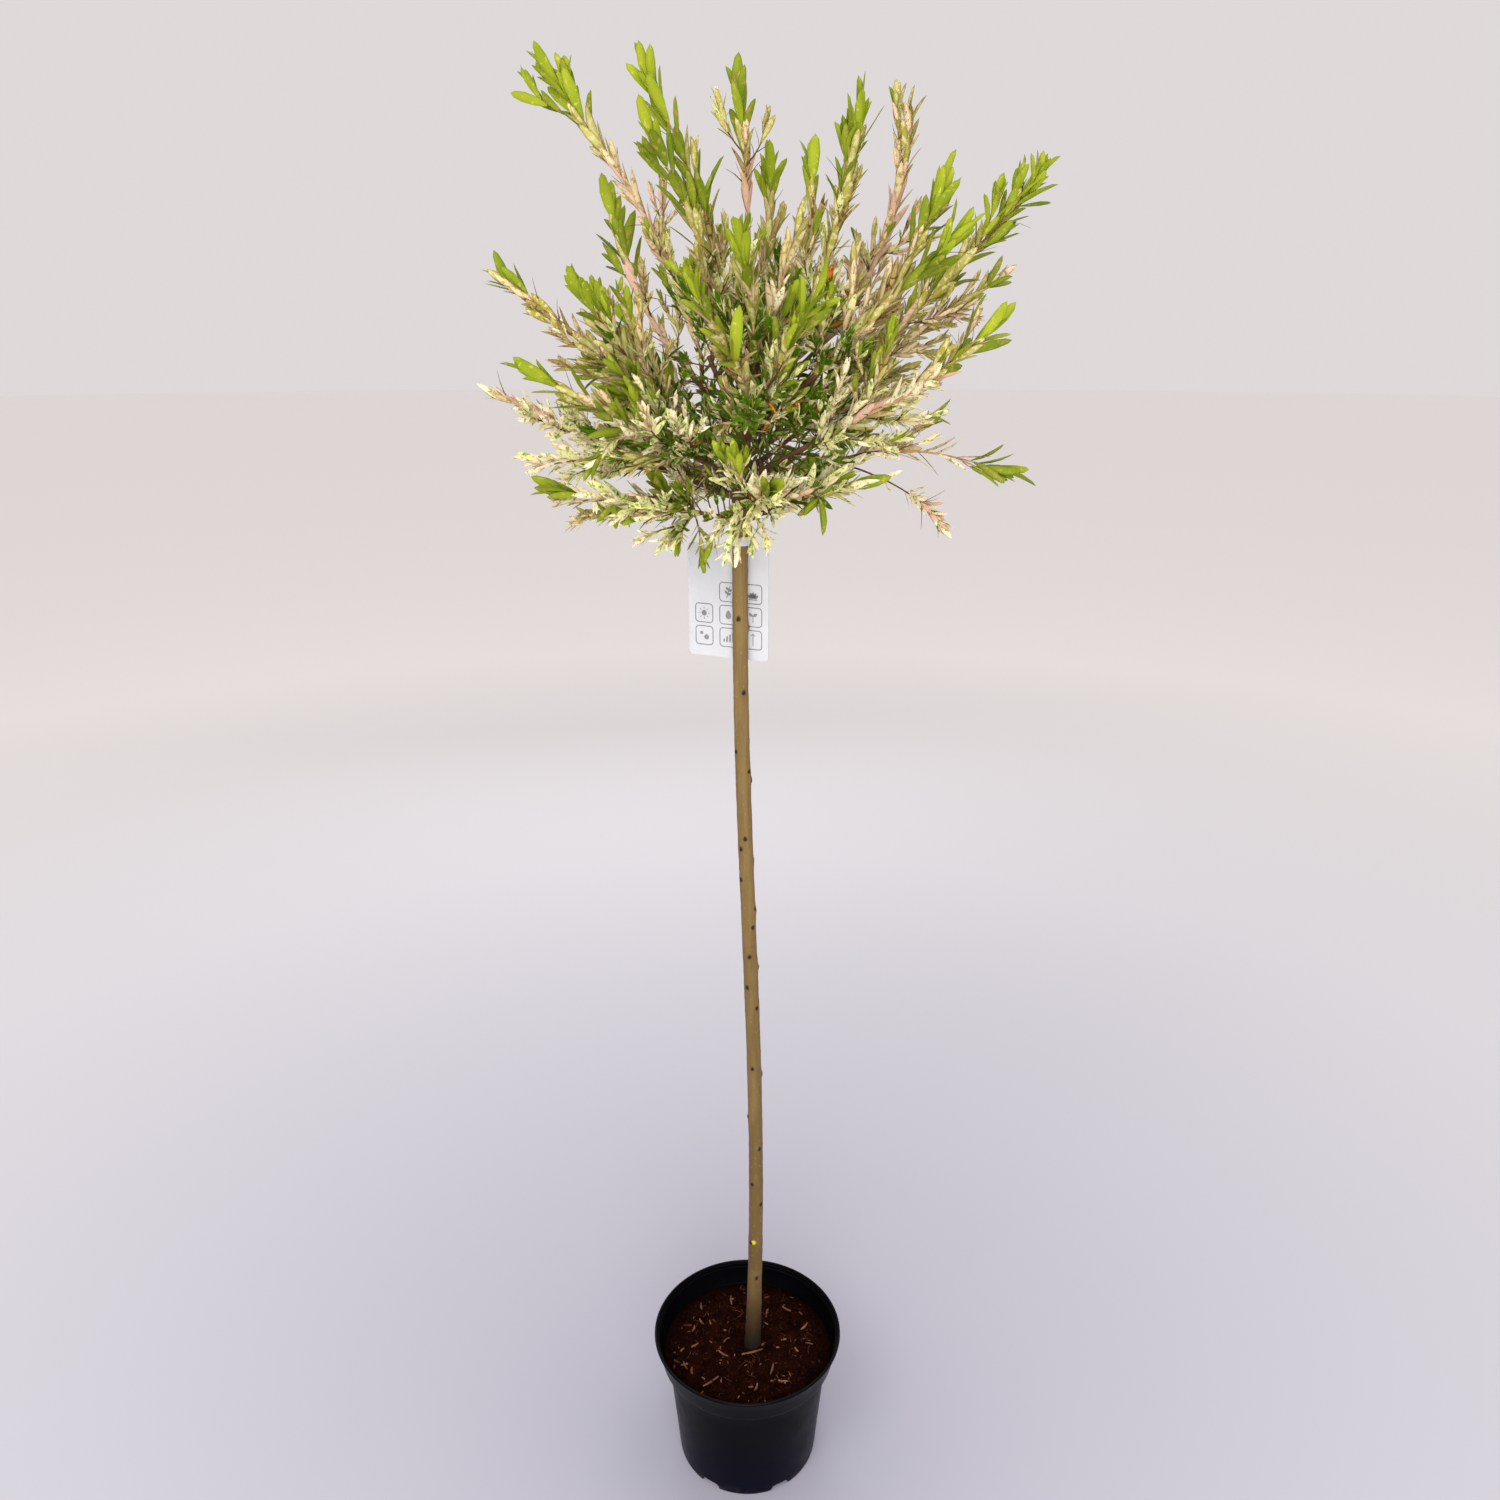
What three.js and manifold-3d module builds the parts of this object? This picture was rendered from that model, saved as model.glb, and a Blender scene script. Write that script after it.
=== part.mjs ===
// A dappled willow grafted on a tall bare stem, standing in a round black nursery pot.
// Millimetres, +Z up. The origin is the centre of the pot's flat underside and -Y is the front.
import * as THREE from "three";
import { mergeVertices } from "three/addons/utils/BufferGeometryUtils.js";
import Module from "manifold-3d";

const wasm = await Module();
wasm.setup();

// Pot: a 19 cm round container with a wide stacking collar.
const RIM_RADIUS = 95;
const POT_HEIGHT = 145;
const FOOT_RADIUS = 71;
const SHOULDER_RADIUS = 81.5;
const COLLAR_FOOT_RADIUS = 88;
const COLLAR_HEIGHT = 27;
const SHOULDER_DROP = 3;
const WALL = 1.8;
const FLOOR = 3;
const POT_SIDES = 36;
const DRAIN_COUNT = 6;
const DRAIN_WIDTH = 20;
const DRAIN_HEIGHT = 7;
const DRAIN_DEPTH = 12;
const FIRST_DRAIN_DEG = -62;

// Compost: it fills the pot to a little below the collar's foot.
const CLEARANCE = 0.3;
const SOIL_LEVEL = 122;
const SOIL_DOME = 2.5;
const SEAT_RADIUS = 12;

// Trunk: one straight-grained stem, swollen where the crown is grafted on.
const TRUNK_FOOT = SOIL_LEVEL + CLEARANCE;
const TRUNK_TOP = 1052;
const TRUNK_RADIUS = 7.1;
const TRUNK_TIP_RADIUS = 6.3;
const FLARE = 1.6;
const FLARE_HEIGHT = 50;
const GRAFT_SWELL = 1.5;
const GRAFT_LEVEL = 1004;
const GRAFT_SPREAD = 34;
const SWAY_MEAN = 1.5;
const SWAY = 7;
const SWAY_PEAK_LEVEL = 309;
const SWAY_HALF_WAVE = 591;
const DEPTH_SWAY = 3;

// Crown limbs and leaves.
const BOUGH_SHARE = 0.2;
const BOUGH_SHORTEST = 26;
const BOUGH_LONGEST = 46;
const BOUGH_STATIONS = 3;
const BOUGH_RADIUS = 2.8;
const BOUGH_TIP_RADIUS = 1.9;
const STEM_LENGTH = 9;
const LEADER_STATIONS = 4;
const LEADER_RADIUS = 2.0;
const LEADER_TIP_RADIUS = 1.0;
const LEADER_BEND = 0.42;
const LOW_TIPS = 1060;
const TWIG_SPACING = 34;
const TWIG_RANGE = 0.75;
const TWIG_LENGTH = 62;
const TWIG_ROOT_SHARE = 0.45;
const TWIG_TIP_RADIUS = 0.55;
const TWIG_BARE_SHARE = 0.3;
const LEAF_SPACING = 17;
const LEAF_LENGTH = 38;
const LEAF_WIDTH = 14;
const LEAF_KEEL = 1.8;
const LEAF_BELLY = 0.48;
const LEAF_FACES_ALLOWED = 20;
const TIP_LEAF_REACH = 30;
const TIP_LEAF_FOOT = 3.5;
const LEADER_BARE_SHARE = 0.1;
const SLIVERS = [0.05, 0.04, 0.03, 0.06, 0.02];
const RANK_ANGLE = (Math.PI * 2) / 3;
const RANK_SLACK = 0.35;
const SPACE_MARGIN = 1.2;
const LIMB_MARGIN = 1.0;

// Label: a plain card that hangs by its strap from the top of the bare stem, behind it, turned so that
// its right side is the nearer one. The offset is along the card.
const CARD_WIDTH = 73;
const CARD_HEIGHT = 95;
const CARD_THICKNESS = 0.8;
const CARD_LEVEL = 897;
const CARD_OFFSET = -14.5;
const CARD_TURN_DEG = 24;
const STRAP_LEVEL = 950;
const STRAP_HEIGHT = 7;
const STRAP_SIDES = 16;

// Each mass of foliage: the level on the trunk where its bough leaves, and the tips of its leading
// shoots as [azimuth in degrees from +X, reach from the trunk, height above the ground, bow], where the
// bow is how far the bend is drawn outward or, for a low tip, upward.
const MASSES = [
  { name: "left_high", root: 1031, tips: [[165, 160, 1308, -60], [143, 148, 1216, 20]] },
  { name: "crest_left", root: 1046, tips: [[210, 80, 1291, -60], [-143, 84, 1253, -45]] },
  { name: "crest_centre", root: 1047, tips: [[97, 50, 1299, 0], [73, 76, 1243, 45]] },
  { name: "crest_right", root: 1046, tips: [[30, 62, 1244, 0], [-13, 91, 1271, 10]] },
  { name: "right_high", root: 1032, tips: [[27, 154, 1283, 60], [52, 138, 1236, 0]] },
  { name: "right_front_high", root: 1030, tips: [[-22, 159, 1212, 15], [-27, 176, 1180, 0]] },
  { name: "right_far", root: 1014, tips: [[5, 230, 1226, 0], [15, 224, 1159, 0]] },
  { name: "right_mid", root: 998, tips: [[-17, 202, 1119, 20], [-36, 178, 1082, 0]] },
  { name: "right_low", root: 982, tips: [[5, 226, 1007, 25], [28, 190, 1040, 0]] },
  { name: "right_low_front", root: 965, tips: [[-31, 116, 1005, 0], [-36, 96, 1010, 0], [-10, 98, 1018, 0]] },
  { name: "left_mid", root: 1013, tips: [[169, 210, 1158, 0], [-158, 140, 1146, 0]] },
  { name: "left_low", root: 984, tips: [[170, 224, 1068, 0], [164, 204, 1012, 0]] },
  { name: "left_front", root: 998, tips: [[-154, 180, 1085, 0], [-130, 165, 1056, 0]] },
  {
    name: "left_low_front",
    root: 966,
    tips: [[-159, 165, 997, 0], [168, 132, 971, 0], [-148, 82, 954, 0], [-142, 98, 1004, 0]],
  },
  { name: "front_crest", root: 1032, tips: [[-61, 85, 1193, 0], [-91, 100, 1176, 0]] },
  { name: "front_mid", root: 1009, tips: [[-97, 151, 1115, 0], [-67, 135, 1144, 0]] },
  { name: "front_low", root: 976, tips: [[-81, 122, 1004, 0], [-98, 68, 956, 0], [-62, 90, 1006, 0]] },
  { name: "back_high", root: 1030, tips: [[106, 150, 1218, 0], [68, 166, 1200, 0]] },
  { name: "back_right", root: 1003, tips: [[50, 205, 1120, 0], [36, 212, 1080, 0]] },
  { name: "back_left", root: 1008, tips: [[125, 200, 1130, 0], [146, 206, 1090, 0]] },
  { name: "back_low", root: 975, tips: [[96, 190, 1022, 0], [66, 150, 1000, 0], [124, 150, 1002, 0]] },
];

const UP = new THREE.Vector3(0, 0, 1);
const FRONT = new THREE.Vector3(0, -1, 0);

const COLOURS = {
  pot: { color: 0x17181c, roughness: 0.45, metalness: 0 },
  compost: { color: 0x3a1a10, roughness: 1, metalness: 0 },
  bark: { color: 0x957558, roughness: 0.8, metalness: 0 },
  twig: { color: 0x6f4a32, roughness: 0.8, metalness: 0 },
  leaf: { color: 0x9db063, roughness: 0.6, metalness: 0 },
  card: { color: 0xf0f0f2, roughness: 0.5, metalness: 0 },
};

function material(name) {
  return new THREE.MeshStandardMaterial(COLOURS[name]);
}

// The same numbers, from 0 to 1, on every run.
function seededRandom(seed) {
  let state = seed;
  return () => {
    state = (1664525 * state + 1013904223) % 4294967296;
    return state / 4294967296;
  };
}

function toSolid(geometry) {
  const bare = geometry.clone();
  bare.deleteAttribute("normal");
  bare.deleteAttribute("uv");
  const merged = mergeVertices(bare, 1e-4);
  return new wasm.Manifold(
    new wasm.Mesh({
      numProp: 3,
      vertProperties: new Float32Array(merged.attributes.position.array),
      triVerts: new Uint32Array(merged.index.array),
    }),
  );
}

function toGeometry(solid) {
  const mesh = solid.getMesh();
  const geometry = new THREE.BufferGeometry();
  geometry.setAttribute("position", new THREE.BufferAttribute(mesh.vertProperties.slice(), 3));
  geometry.setIndex(new THREE.BufferAttribute(mesh.triVerts.slice(), 1));
  geometry.computeVertexNormals();
  return geometry;
}

// The largest of a solid's separate bodies: a scrap that nothing holds is dropped.
function largestBody(solid) {
  return solid.decompose().reduce((a, b) => (b.volume() > a.volume() ? b : a));
}

function cornersApart(solid) {
  const bare = toGeometry(solid);
  bare.deleteAttribute("normal");
  return mergeVertices(bare, 0.002).attributes.position.count === bare.attributes.position.count;
}

// Slivers where leaves and shoots meet are drawn together, by less than can be seen and without
// bringing two corners of the surface to one place.
function tidied(solid) {
  const choices = SLIVERS.map((sliver) => largestBody(solid.asOriginal().simplify(sliver)));
  return choices.find(cornersApart) ?? choices[0];
}

function radiansOf(degrees) {
  return THREE.MathUtils.degToRad(degrees);
}

// Pot

function potOuterRadius(level) {
  const shoulder = POT_HEIGHT - COLLAR_HEIGHT - SHOULDER_DROP;
  return FOOT_RADIUS + ((SHOULDER_RADIUS - FOOT_RADIUS) * level) / shoulder;
}

function makePot() {
  const shoulder = POT_HEIGHT - COLLAR_HEIGHT - SHOULDER_DROP;
  const collarFoot = POT_HEIGHT - COLLAR_HEIGHT;
  const lip = 2;
  const profile = [
    [0, 0],
    [FOOT_RADIUS - lip, 0],
    [FOOT_RADIUS, lip],
    [SHOULDER_RADIUS, shoulder],
    [COLLAR_FOOT_RADIUS, collarFoot],
    [RIM_RADIUS - lip / 2, POT_HEIGHT - lip],
    [RIM_RADIUS, POT_HEIGHT - lip / 2],
    [RIM_RADIUS - lip / 2, POT_HEIGHT],
    [RIM_RADIUS - WALL - lip / 2, POT_HEIGHT],
    [COLLAR_FOOT_RADIUS - WALL, collarFoot + WALL],
    [SHOULDER_RADIUS - WALL, shoulder + WALL / 2],
    [potOuterRadius(FLOOR) - WALL, FLOOR],
    [0, FLOOR],
  ];
  const lathe = new THREE.LatheGeometry(profile.map(([r, z]) => new THREE.Vector2(r, z)), POT_SIDES);
  let pot = toSolid(lathe.rotateX(Math.PI / 2));
  const drain = new THREE.BoxGeometry(DRAIN_DEPTH, DRAIN_WIDTH, DRAIN_HEIGHT * 2);
  drain.translate(FOOT_RADIUS, 0, 0);
  for (let i = 0; i < DRAIN_COUNT; i++) {
    const turn = radiansOf(FIRST_DRAIN_DEG + (360 / DRAIN_COUNT) * i);
    pot = pot.subtract(toSolid(drain.clone().rotateZ(turn)));
  }
  return new THREE.Mesh(toGeometry(pot), material("pot"));
}

// The compost meets the wall all round, and its top is a low dome with a flat seat for the trunk.
function makeSoil() {
  const bottom = FLOOR + CLEARANCE;
  const inner = (level) => potOuterRadius(level) - WALL - CLEARANCE * 2;
  const shoulder = POT_HEIGHT - COLLAR_HEIGHT - SHOULDER_DROP;
  const seat = trunkAxis(TRUNK_FOOT);
  const profile = [
    [0, bottom],
    [inner(bottom), bottom],
    [inner(shoulder) - CLEARANCE, shoulder],
    [inner(shoulder) + 1, SOIL_LEVEL - SOIL_DOME],
    [inner(shoulder) * 0.72, SOIL_LEVEL],
    [0, SOIL_LEVEL + SOIL_DOME],
  ];
  const lathe = new THREE.LatheGeometry(profile.map(([r, z]) => new THREE.Vector2(r, z)), POT_SIDES);
  const cutter = new THREE.CylinderGeometry(SEAT_RADIUS, SEAT_RADIUS, 20, 24).rotateX(Math.PI / 2);
  cutter.translate(seat.x, seat.y, SOIL_LEVEL + 10);
  const solid = toSolid(lathe.rotateX(Math.PI / 2)).subtract(toSolid(cutter));
  return new THREE.Mesh(toGeometry(solid), material("compost"));
}

// Trunk

function trunkAxis(level) {
  const share = (level - SOIL_LEVEL) / (TRUNK_TOP - SOIL_LEVEL);
  const x = SWAY_MEAN + SWAY * Math.cos((Math.PI * (level - SWAY_PEAK_LEVEL)) / SWAY_HALF_WAVE);
  return new THREE.Vector3(x, DEPTH_SWAY * Math.sin(Math.PI * share), level);
}

function trunkRadius(level) {
  const share = (level - SOIL_LEVEL) / (TRUNK_TOP - SOIL_LEVEL);
  const flare = FLARE * Math.exp(-(level - SOIL_LEVEL) / FLARE_HEIGHT);
  const graft = GRAFT_SWELL * Math.exp(-(((level - GRAFT_LEVEL) / GRAFT_SPREAD) ** 2));
  return TRUNK_RADIUS + (TRUNK_TIP_RADIUS - TRUNK_RADIUS) * share + flare + graft;
}

// The trunk's solid, thicker all round by what a neighbour has to stay clear.
function trunkSolid(extra, sides, stations) {
  const column = new THREE.CylinderGeometry(1, 1, 1, sides, stations);
  const position = column.attributes.position;
  for (let i = 0; i < position.count; i++) {
    const share = position.getY(i) + 0.5;
    const level = TRUNK_FOOT + (TRUNK_TOP - TRUNK_FOOT) * share;
    const axis = trunkAxis(level);
    const radius = trunkRadius(level) + extra;
    const lift = extra * (share - 0.5) * 2;
    position.setXYZ(
      i,
      axis.x + position.getX(i) * radius,
      axis.y - position.getZ(i) * radius,
      level + lift,
    );
  }
  return toSolid(column);
}

// A limb or shoot is a row of points, evenly numbered from its foot to its tip.
function curvedShoot(start, bend, end, stations) {
  return new THREE.QuadraticBezierCurve3(start, bend, end).getPoints(stations);
}

function stationOf(shoot, share) {
  return Math.min(Math.floor(share * (shoot.length - 1)), shoot.length - 2);
}

function pointOn(shoot, share) {
  const station = stationOf(shoot, share);
  return shoot[station].clone().lerp(shoot[station + 1], share * (shoot.length - 1) - station);
}

function headingOf(shoot, share) {
  const station = stationOf(shoot, share);
  return shoot[station + 1].clone().sub(shoot[station]).normalize();
}

function lengthOf(shoot) {
  return shoot.slice(1).reduce((sum, point, i) => sum + point.distanceTo(shoot[i]), 0);
}

// A direction across a shoot, turned about its heading from the level line square to its chord.
function acrossShoot(shoot, heading, turn) {
  const chord = shoot[shoot.length - 1].clone().sub(shoot[0]).normalize();
  const level = new THREE.Vector3().crossVectors(chord, Math.abs(chord.z) > 0.98 ? FRONT : UP);
  level.addScaledVector(heading, -level.dot(heading)).normalize();
  return level.applyAxisAngle(heading, turn);
}

// A tapering limb along a row of points, round or three-sided, with flat ends.
function limbSolid(shoot, rootRadius, tipRadius, sides) {
  const stations = shoot.length - 1;
  const column = new THREE.CylinderGeometry(1, 1, 1, sides, stations);
  const position = column.attributes.position;
  for (let i = 0; i < position.count; i++) {
    const share = position.getY(i) + 0.5;
    const station = Math.round(share * stations);
    const before = shoot[Math.max(station - 1, 0)];
    const after = shoot[Math.min(station + 1, stations)];
    const heading = after.clone().sub(before).normalize();
    const centred = position.getX(i) === 0 && position.getZ(i) === 0;
    const radius = centred ? 0 : rootRadius + (tipRadius - rootRadius) * share;
    const turn = Math.atan2(position.getX(i), position.getZ(i));
    const point = shoot[station].clone().addScaledVector(acrossShoot(shoot, heading, turn), radius);
    position.setXYZ(i, point.x, point.y, point.z);
  }
  return toSolid(column);
}

// Crown

function tipPoint([azimuth, reach, height]) {
  const turn = radiansOf(azimuth);
  return new THREE.Vector3(reach * Math.cos(turn), reach * Math.sin(turn), height);
}

// A bough leaves the trunk at a flatter slant than it ends with when it climbs to its tips.
function boughPoints(mass) {
  const root = trunkAxis(mass.root);
  const middle = new THREE.Vector3();
  mass.tips.forEach((tip) => middle.add(tipPoint(tip)));
  middle.divideScalar(mass.tips.length);
  const way = middle.clone().sub(root);
  const length = THREE.MathUtils.clamp(way.length() * BOUGH_SHARE, BOUGH_SHORTEST, BOUGH_LONGEST);
  const rise = Math.atan2(way.z, Math.hypot(way.x, way.y));
  const turn = Math.atan2(way.y, way.x);
  const slant = (angle) =>
    new THREE.Vector3(Math.cos(turn) * Math.cos(angle), Math.sin(turn) * Math.cos(angle), Math.sin(angle));
  const bend = root.clone().addScaledVector(slant(rise * 0.55 + 0.12), length * 0.5);
  const end = bend.clone().addScaledVector(slant(rise * 0.8 + 0.12), length * 0.5);
  return curvedShoot(root, bend, end, BOUGH_STATIONS);
}

// The leading shoots start in the mass's stem, clear of the bough's tip, and end a leaf short of the tips.
function leaderPoints(mass, bough) {
  const heading = headingOf(bough, 1);
  const start = pointOn(bough, 1).addScaledVector(heading, CLEARANCE + STEM_LENGTH * 0.4);
  return mass.tips.map((tip) => {
    const end = tipPoint(tip);
    end.lerp(start, TIP_LEAF_REACH / end.distanceTo(start));
    const drawn = end.z < LOW_TIPS ? UP : new THREE.Vector3(end.x, end.y, 0).normalize();
    const bend = start.clone().addScaledVector(heading, start.distanceTo(end) * LEADER_BEND);
    bend.addScaledVector(drawn, tip[3]);
    return curvedShoot(start, bend, end, LEADER_STATIONS);
  });
}

// Side shoots and leaves stand in three ranks, each from the middle of one of the shoot's three sides.
function rankTurn(number, random) {
  return RANK_ANGLE * (number + 0.5) + RANK_SLACK * (random() - 0.5);
}

// A side shoot leaves its leader at a slant that leans a little up towards the light.
function twigPoints(leader, share, turn, length) {
  const along = headingOf(leader, share);
  const start = pointOn(leader, share);
  const heading = along
    .clone()
    .addScaledVector(acrossShoot(leader, along, turn), 0.85)
    .addScaledVector(UP, 0.12)
    .normalize();
  return [start, start.clone().addScaledVector(heading, length)];
}

// One leaf: a blade with a keel under its midrib, in six faces, its foot on the shoot's axis.
// Leaves stand off the shoot near its foot and close up along it towards its tip.
function leafShape(shoot, share, turn, size) {
  const foot = pointOn(shoot, share);
  const along = headingOf(shoot, share);
  const out = acrossShoot(shoot, along, turn);
  const spread = 0.85 - 0.4 * share;
  const heading = along.clone().addScaledVector(out, spread).addScaledVector(UP, 0.12).normalize();
  const side = new THREE.Vector3().crossVectors(along, out);
  side.addScaledVector(heading, -side.dot(heading)).normalize();
  const under = new THREE.Vector3().crossVectors(side, heading);
  const length = LEAF_LENGTH * size;
  const half = (LEAF_WIDTH * size) / 2;
  const at = (reach, across, drop) =>
    foot
      .clone()
      .addScaledVector(heading, reach * length)
      .addScaledVector(side, across)
      .addScaledVector(under, drop);
  const blade = new THREE.BufferGeometry().setFromPoints([
    foot,
    at(1, 0, 0),
    at(LEAF_BELLY, half, 0),
    at(LEAF_BELLY, -half, 0),
    at(LEAF_BELLY, 0, LEAF_KEEL),
  ]);
  return blade.setIndex([0, 3, 2, 1, 2, 3, 0, 2, 4, 0, 4, 3, 1, 4, 2, 1, 3, 4]);
}

function cornersOf(geometry) {
  const position = geometry.attributes.position;
  return Array.from({ length: position.count }, (_, i) => new THREE.Vector3().fromBufferAttribute(position, i));
}

function nearest(point, samples) {
  return samples.reduce((least, sample) => Math.min(least, sample.distanceTo(point)), Infinity);
}

function samplesOf(shoot, count) {
  return Array.from({ length: count + 1 }, (_, i) => pointOn(shoot, i / count));
}

// The plan of the whole crown: every mass knows its limb and its leading shoots before any leaf grows.
function planCrown() {
  const plan = MASSES.map((mass, index) => {
    const bough = boughPoints(mass);
    const leaders = leaderPoints(mass, bough);
    return {
      ...mass,
      seed: 101 + index * 37,
      bough,
      leaders,
      limb: samplesOf(bough, 10),
      samples: leaders.flatMap((leader) => samplesOf(leader, 20)),
    };
  });
  plan.forEach((mass) => {
    const others = plan.filter((other) => other !== mass);
    mass.rivals = others.flatMap((other) => other.samples);
    mass.limbs = others.flatMap((other) => other.limb);
  });
  return plan;
}

// A point is free if it is nearer to this mass's shoots than to any other's, and clear of limbs and trunk.
function isFree(point, mass) {
  const level = Math.min(Math.max(point.z, TRUNK_FOOT), TRUNK_TOP);
  if (point.distanceTo(trunkAxis(level)) < trunkRadius(level) + LIMB_MARGIN) return false;
  if (nearest(point, mass.limbs) < BOUGH_RADIUS + LIMB_MARGIN + 1) return false;
  return nearest(point, mass.samples) + SPACE_MARGIN < nearest(point, mass.rivals);
}

// A leaf fits if its corners and middle are free and it stays off its own mass's bough too.
function leafFits(leaf, mass) {
  const corners = cornersOf(leaf);
  const centre = corners[0].clone().lerp(corners[1], 0.5);
  return [...corners, centre].every(
    (point) => isFree(point, mass) && nearest(point, mass.limb) > BOUGH_RADIUS + LIMB_MARGIN,
  );
}

// Each leaf is tried whole, then smaller, and is left out if neither fits its space, or if it would cut
// through its neighbours so often that it costs too many faces. The last one stands at the shoot's tip.
function addLeaves(whole, shoot, mass, random, bareShare) {
  const length = lengthOf(shoot);
  const last = 1 - TIP_LEAF_FOOT / length;
  const count = Math.max(2, Math.round((length * (last - bareShare)) / LEAF_SPACING));
  const first = Math.floor(random() * 3);
  let grown = whole;
  for (let i = 0; i <= count; i++) {
    const share = bareShare + ((last - bareShare) * i) / count;
    const turn = rankTurn(first + i, random);
    const size = i === count ? 1 : 0.8 + 0.3 * random();
    const leaf = [size, size * 0.7, size * 0.5]
      .map((scale) => leafShape(shoot, share, turn, scale))
      .find((shape) => leafFits(shape, mass));
    if (!leaf) continue;
    const next = grown.add(toSolid(leaf));
    const cost = next.numTri() - grown.numTri();
    if (cost <= LEAF_FACES_ALLOWED || i === count) grown = next;
  }
  return grown;
}

// One mass: a short stem, its leading shoots, the side shoots on them, and the leaves on them all.
function makeMass(mass) {
  const random = seededRandom(mass.seed);
  const heading = headingOf(mass.bough, 1);
  const foot = pointOn(mass.bough, 1).addScaledVector(heading, CLEARANCE);
  const stem = [foot, foot.clone().addScaledVector(heading, STEM_LENGTH)];
  let whole = limbSolid(stem, BOUGH_TIP_RADIUS, BOUGH_TIP_RADIUS, 6);
  const shoots = [];
  mass.leaders.forEach((leader) => {
    whole = whole.add(limbSolid(leader, LEADER_RADIUS, LEADER_TIP_RADIUS, 3));
    shoots.push([leader, LEADER_BARE_SHARE]);
    const count = Math.floor((lengthOf(leader) * TWIG_RANGE) / TWIG_SPACING);
    const first = Math.floor(random() * 3);
    for (let i = 0; i < count; i++) {
      const share = 0.08 + ((TWIG_RANGE - 0.08) * i) / count;
      const turn = rankTurn(first + i, random);
      const length = TWIG_LENGTH * (1 - 0.55 * share) * (0.8 + 0.4 * random());
      const twig = twigPoints(leader, share, turn, length);
      const clear = [0.35, 0.7, 1].every((part) => isFree(pointOn(twig, part), mass));
      if (!clear) continue;
      const radius = TWIG_ROOT_SHARE * (LEADER_RADIUS + (LEADER_TIP_RADIUS - LEADER_RADIUS) * share);
      whole = whole.add(limbSolid(twig, radius, TWIG_TIP_RADIUS, 3));
      shoots.push([twig, TWIG_BARE_SHARE]);
    }
  });
  shoots.forEach(([shoot, bareShare]) => {
    whole = addLeaves(whole, shoot, mass, random, bareShare);
  });
  return new THREE.Mesh(toGeometry(tidied(whole)), material("leaf"));
}

function makeBough(mass, clearTrunk) {
  const limb = limbSolid(mass.bough, BOUGH_RADIUS, BOUGH_TIP_RADIUS, 6);
  return new THREE.Mesh(toGeometry(largestBody(limb.subtract(clearTrunk))), material("twig"));
}

// The card hangs behind the trunk from a strap that runs round it, and is one piece with the strap.
function makeLabel(clearTrunk) {
  const centre = trunkAxis(STRAP_LEVEL);
  const inner = trunkRadius(STRAP_LEVEL) + CLEARANCE * 2;
  const behind = inner + CARD_THICKNESS / 2;
  const band = new THREE.CylinderGeometry(
    inner + CARD_THICKNESS,
    inner + CARD_THICKNESS,
    STRAP_HEIGHT,
    STRAP_SIDES,
  ).rotateX(Math.PI / 2);
  band.translate(0, 0, STRAP_LEVEL);
  const card = new THREE.BoxGeometry(CARD_WIDTH, CARD_THICKNESS, CARD_HEIGHT);
  card.translate(CARD_OFFSET, behind, CARD_LEVEL);
  const neckHeight = STRAP_LEVEL - CARD_LEVEL - CARD_HEIGHT / 2 + STRAP_HEIGHT / 2 + 4;
  const neck = new THREE.BoxGeometry(STRAP_HEIGHT, CARD_THICKNESS, neckHeight);
  neck.translate(0, behind, STRAP_LEVEL + STRAP_HEIGHT / 2 - neckHeight / 2);
  const plates = [band, card, neck].map((plate) =>
    toSolid(plate.rotateZ(-radiansOf(CARD_TURN_DEG)).translate(centre.x, centre.y, 0)),
  );
  const label = plates[0].add(plates[1]).add(plates[2]).subtract(clearTrunk);
  return new THREE.Mesh(toGeometry(largestBody(label)), material("card"));
}

function named(name, mesh) {
  mesh.name = name;
  return mesh;
}

const clearTrunk = trunkSolid(CLEARANCE, 12, 26);
const willow = new THREE.Group();
willow.add(named("pot", makePot()));
willow.add(named("compost", makeSoil()));
willow.add(named("trunk", new THREE.Mesh(toGeometry(trunkSolid(0, 12, 26)), material("bark"))));
willow.add(named("label_card", makeLabel(clearTrunk)));
for (const mass of planCrown()) {
  willow.add(named("bough_" + mass.name, makeBough(mass, clearTrunk)));
  willow.add(named("foliage_" + mass.name, makeMass(mass)));
}

export default willow;
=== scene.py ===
import math

import bpy
import numpy as np
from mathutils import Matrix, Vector, noise


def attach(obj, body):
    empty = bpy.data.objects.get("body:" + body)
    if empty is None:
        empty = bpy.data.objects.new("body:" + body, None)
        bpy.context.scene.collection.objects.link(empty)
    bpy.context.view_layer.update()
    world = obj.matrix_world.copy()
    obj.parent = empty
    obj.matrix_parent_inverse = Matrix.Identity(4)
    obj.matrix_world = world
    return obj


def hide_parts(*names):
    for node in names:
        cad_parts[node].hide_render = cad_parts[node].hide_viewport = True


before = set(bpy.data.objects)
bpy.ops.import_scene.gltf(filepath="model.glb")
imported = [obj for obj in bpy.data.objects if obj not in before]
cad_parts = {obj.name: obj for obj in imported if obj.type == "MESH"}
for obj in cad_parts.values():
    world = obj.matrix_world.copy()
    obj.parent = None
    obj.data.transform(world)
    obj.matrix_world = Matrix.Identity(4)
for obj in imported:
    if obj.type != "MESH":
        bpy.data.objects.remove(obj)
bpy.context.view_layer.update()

MM = 0.001
UP = np.array((0.0, 0.0, 1.0))
FRONT = np.array((0.0, -1.0, 0.0))

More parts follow.
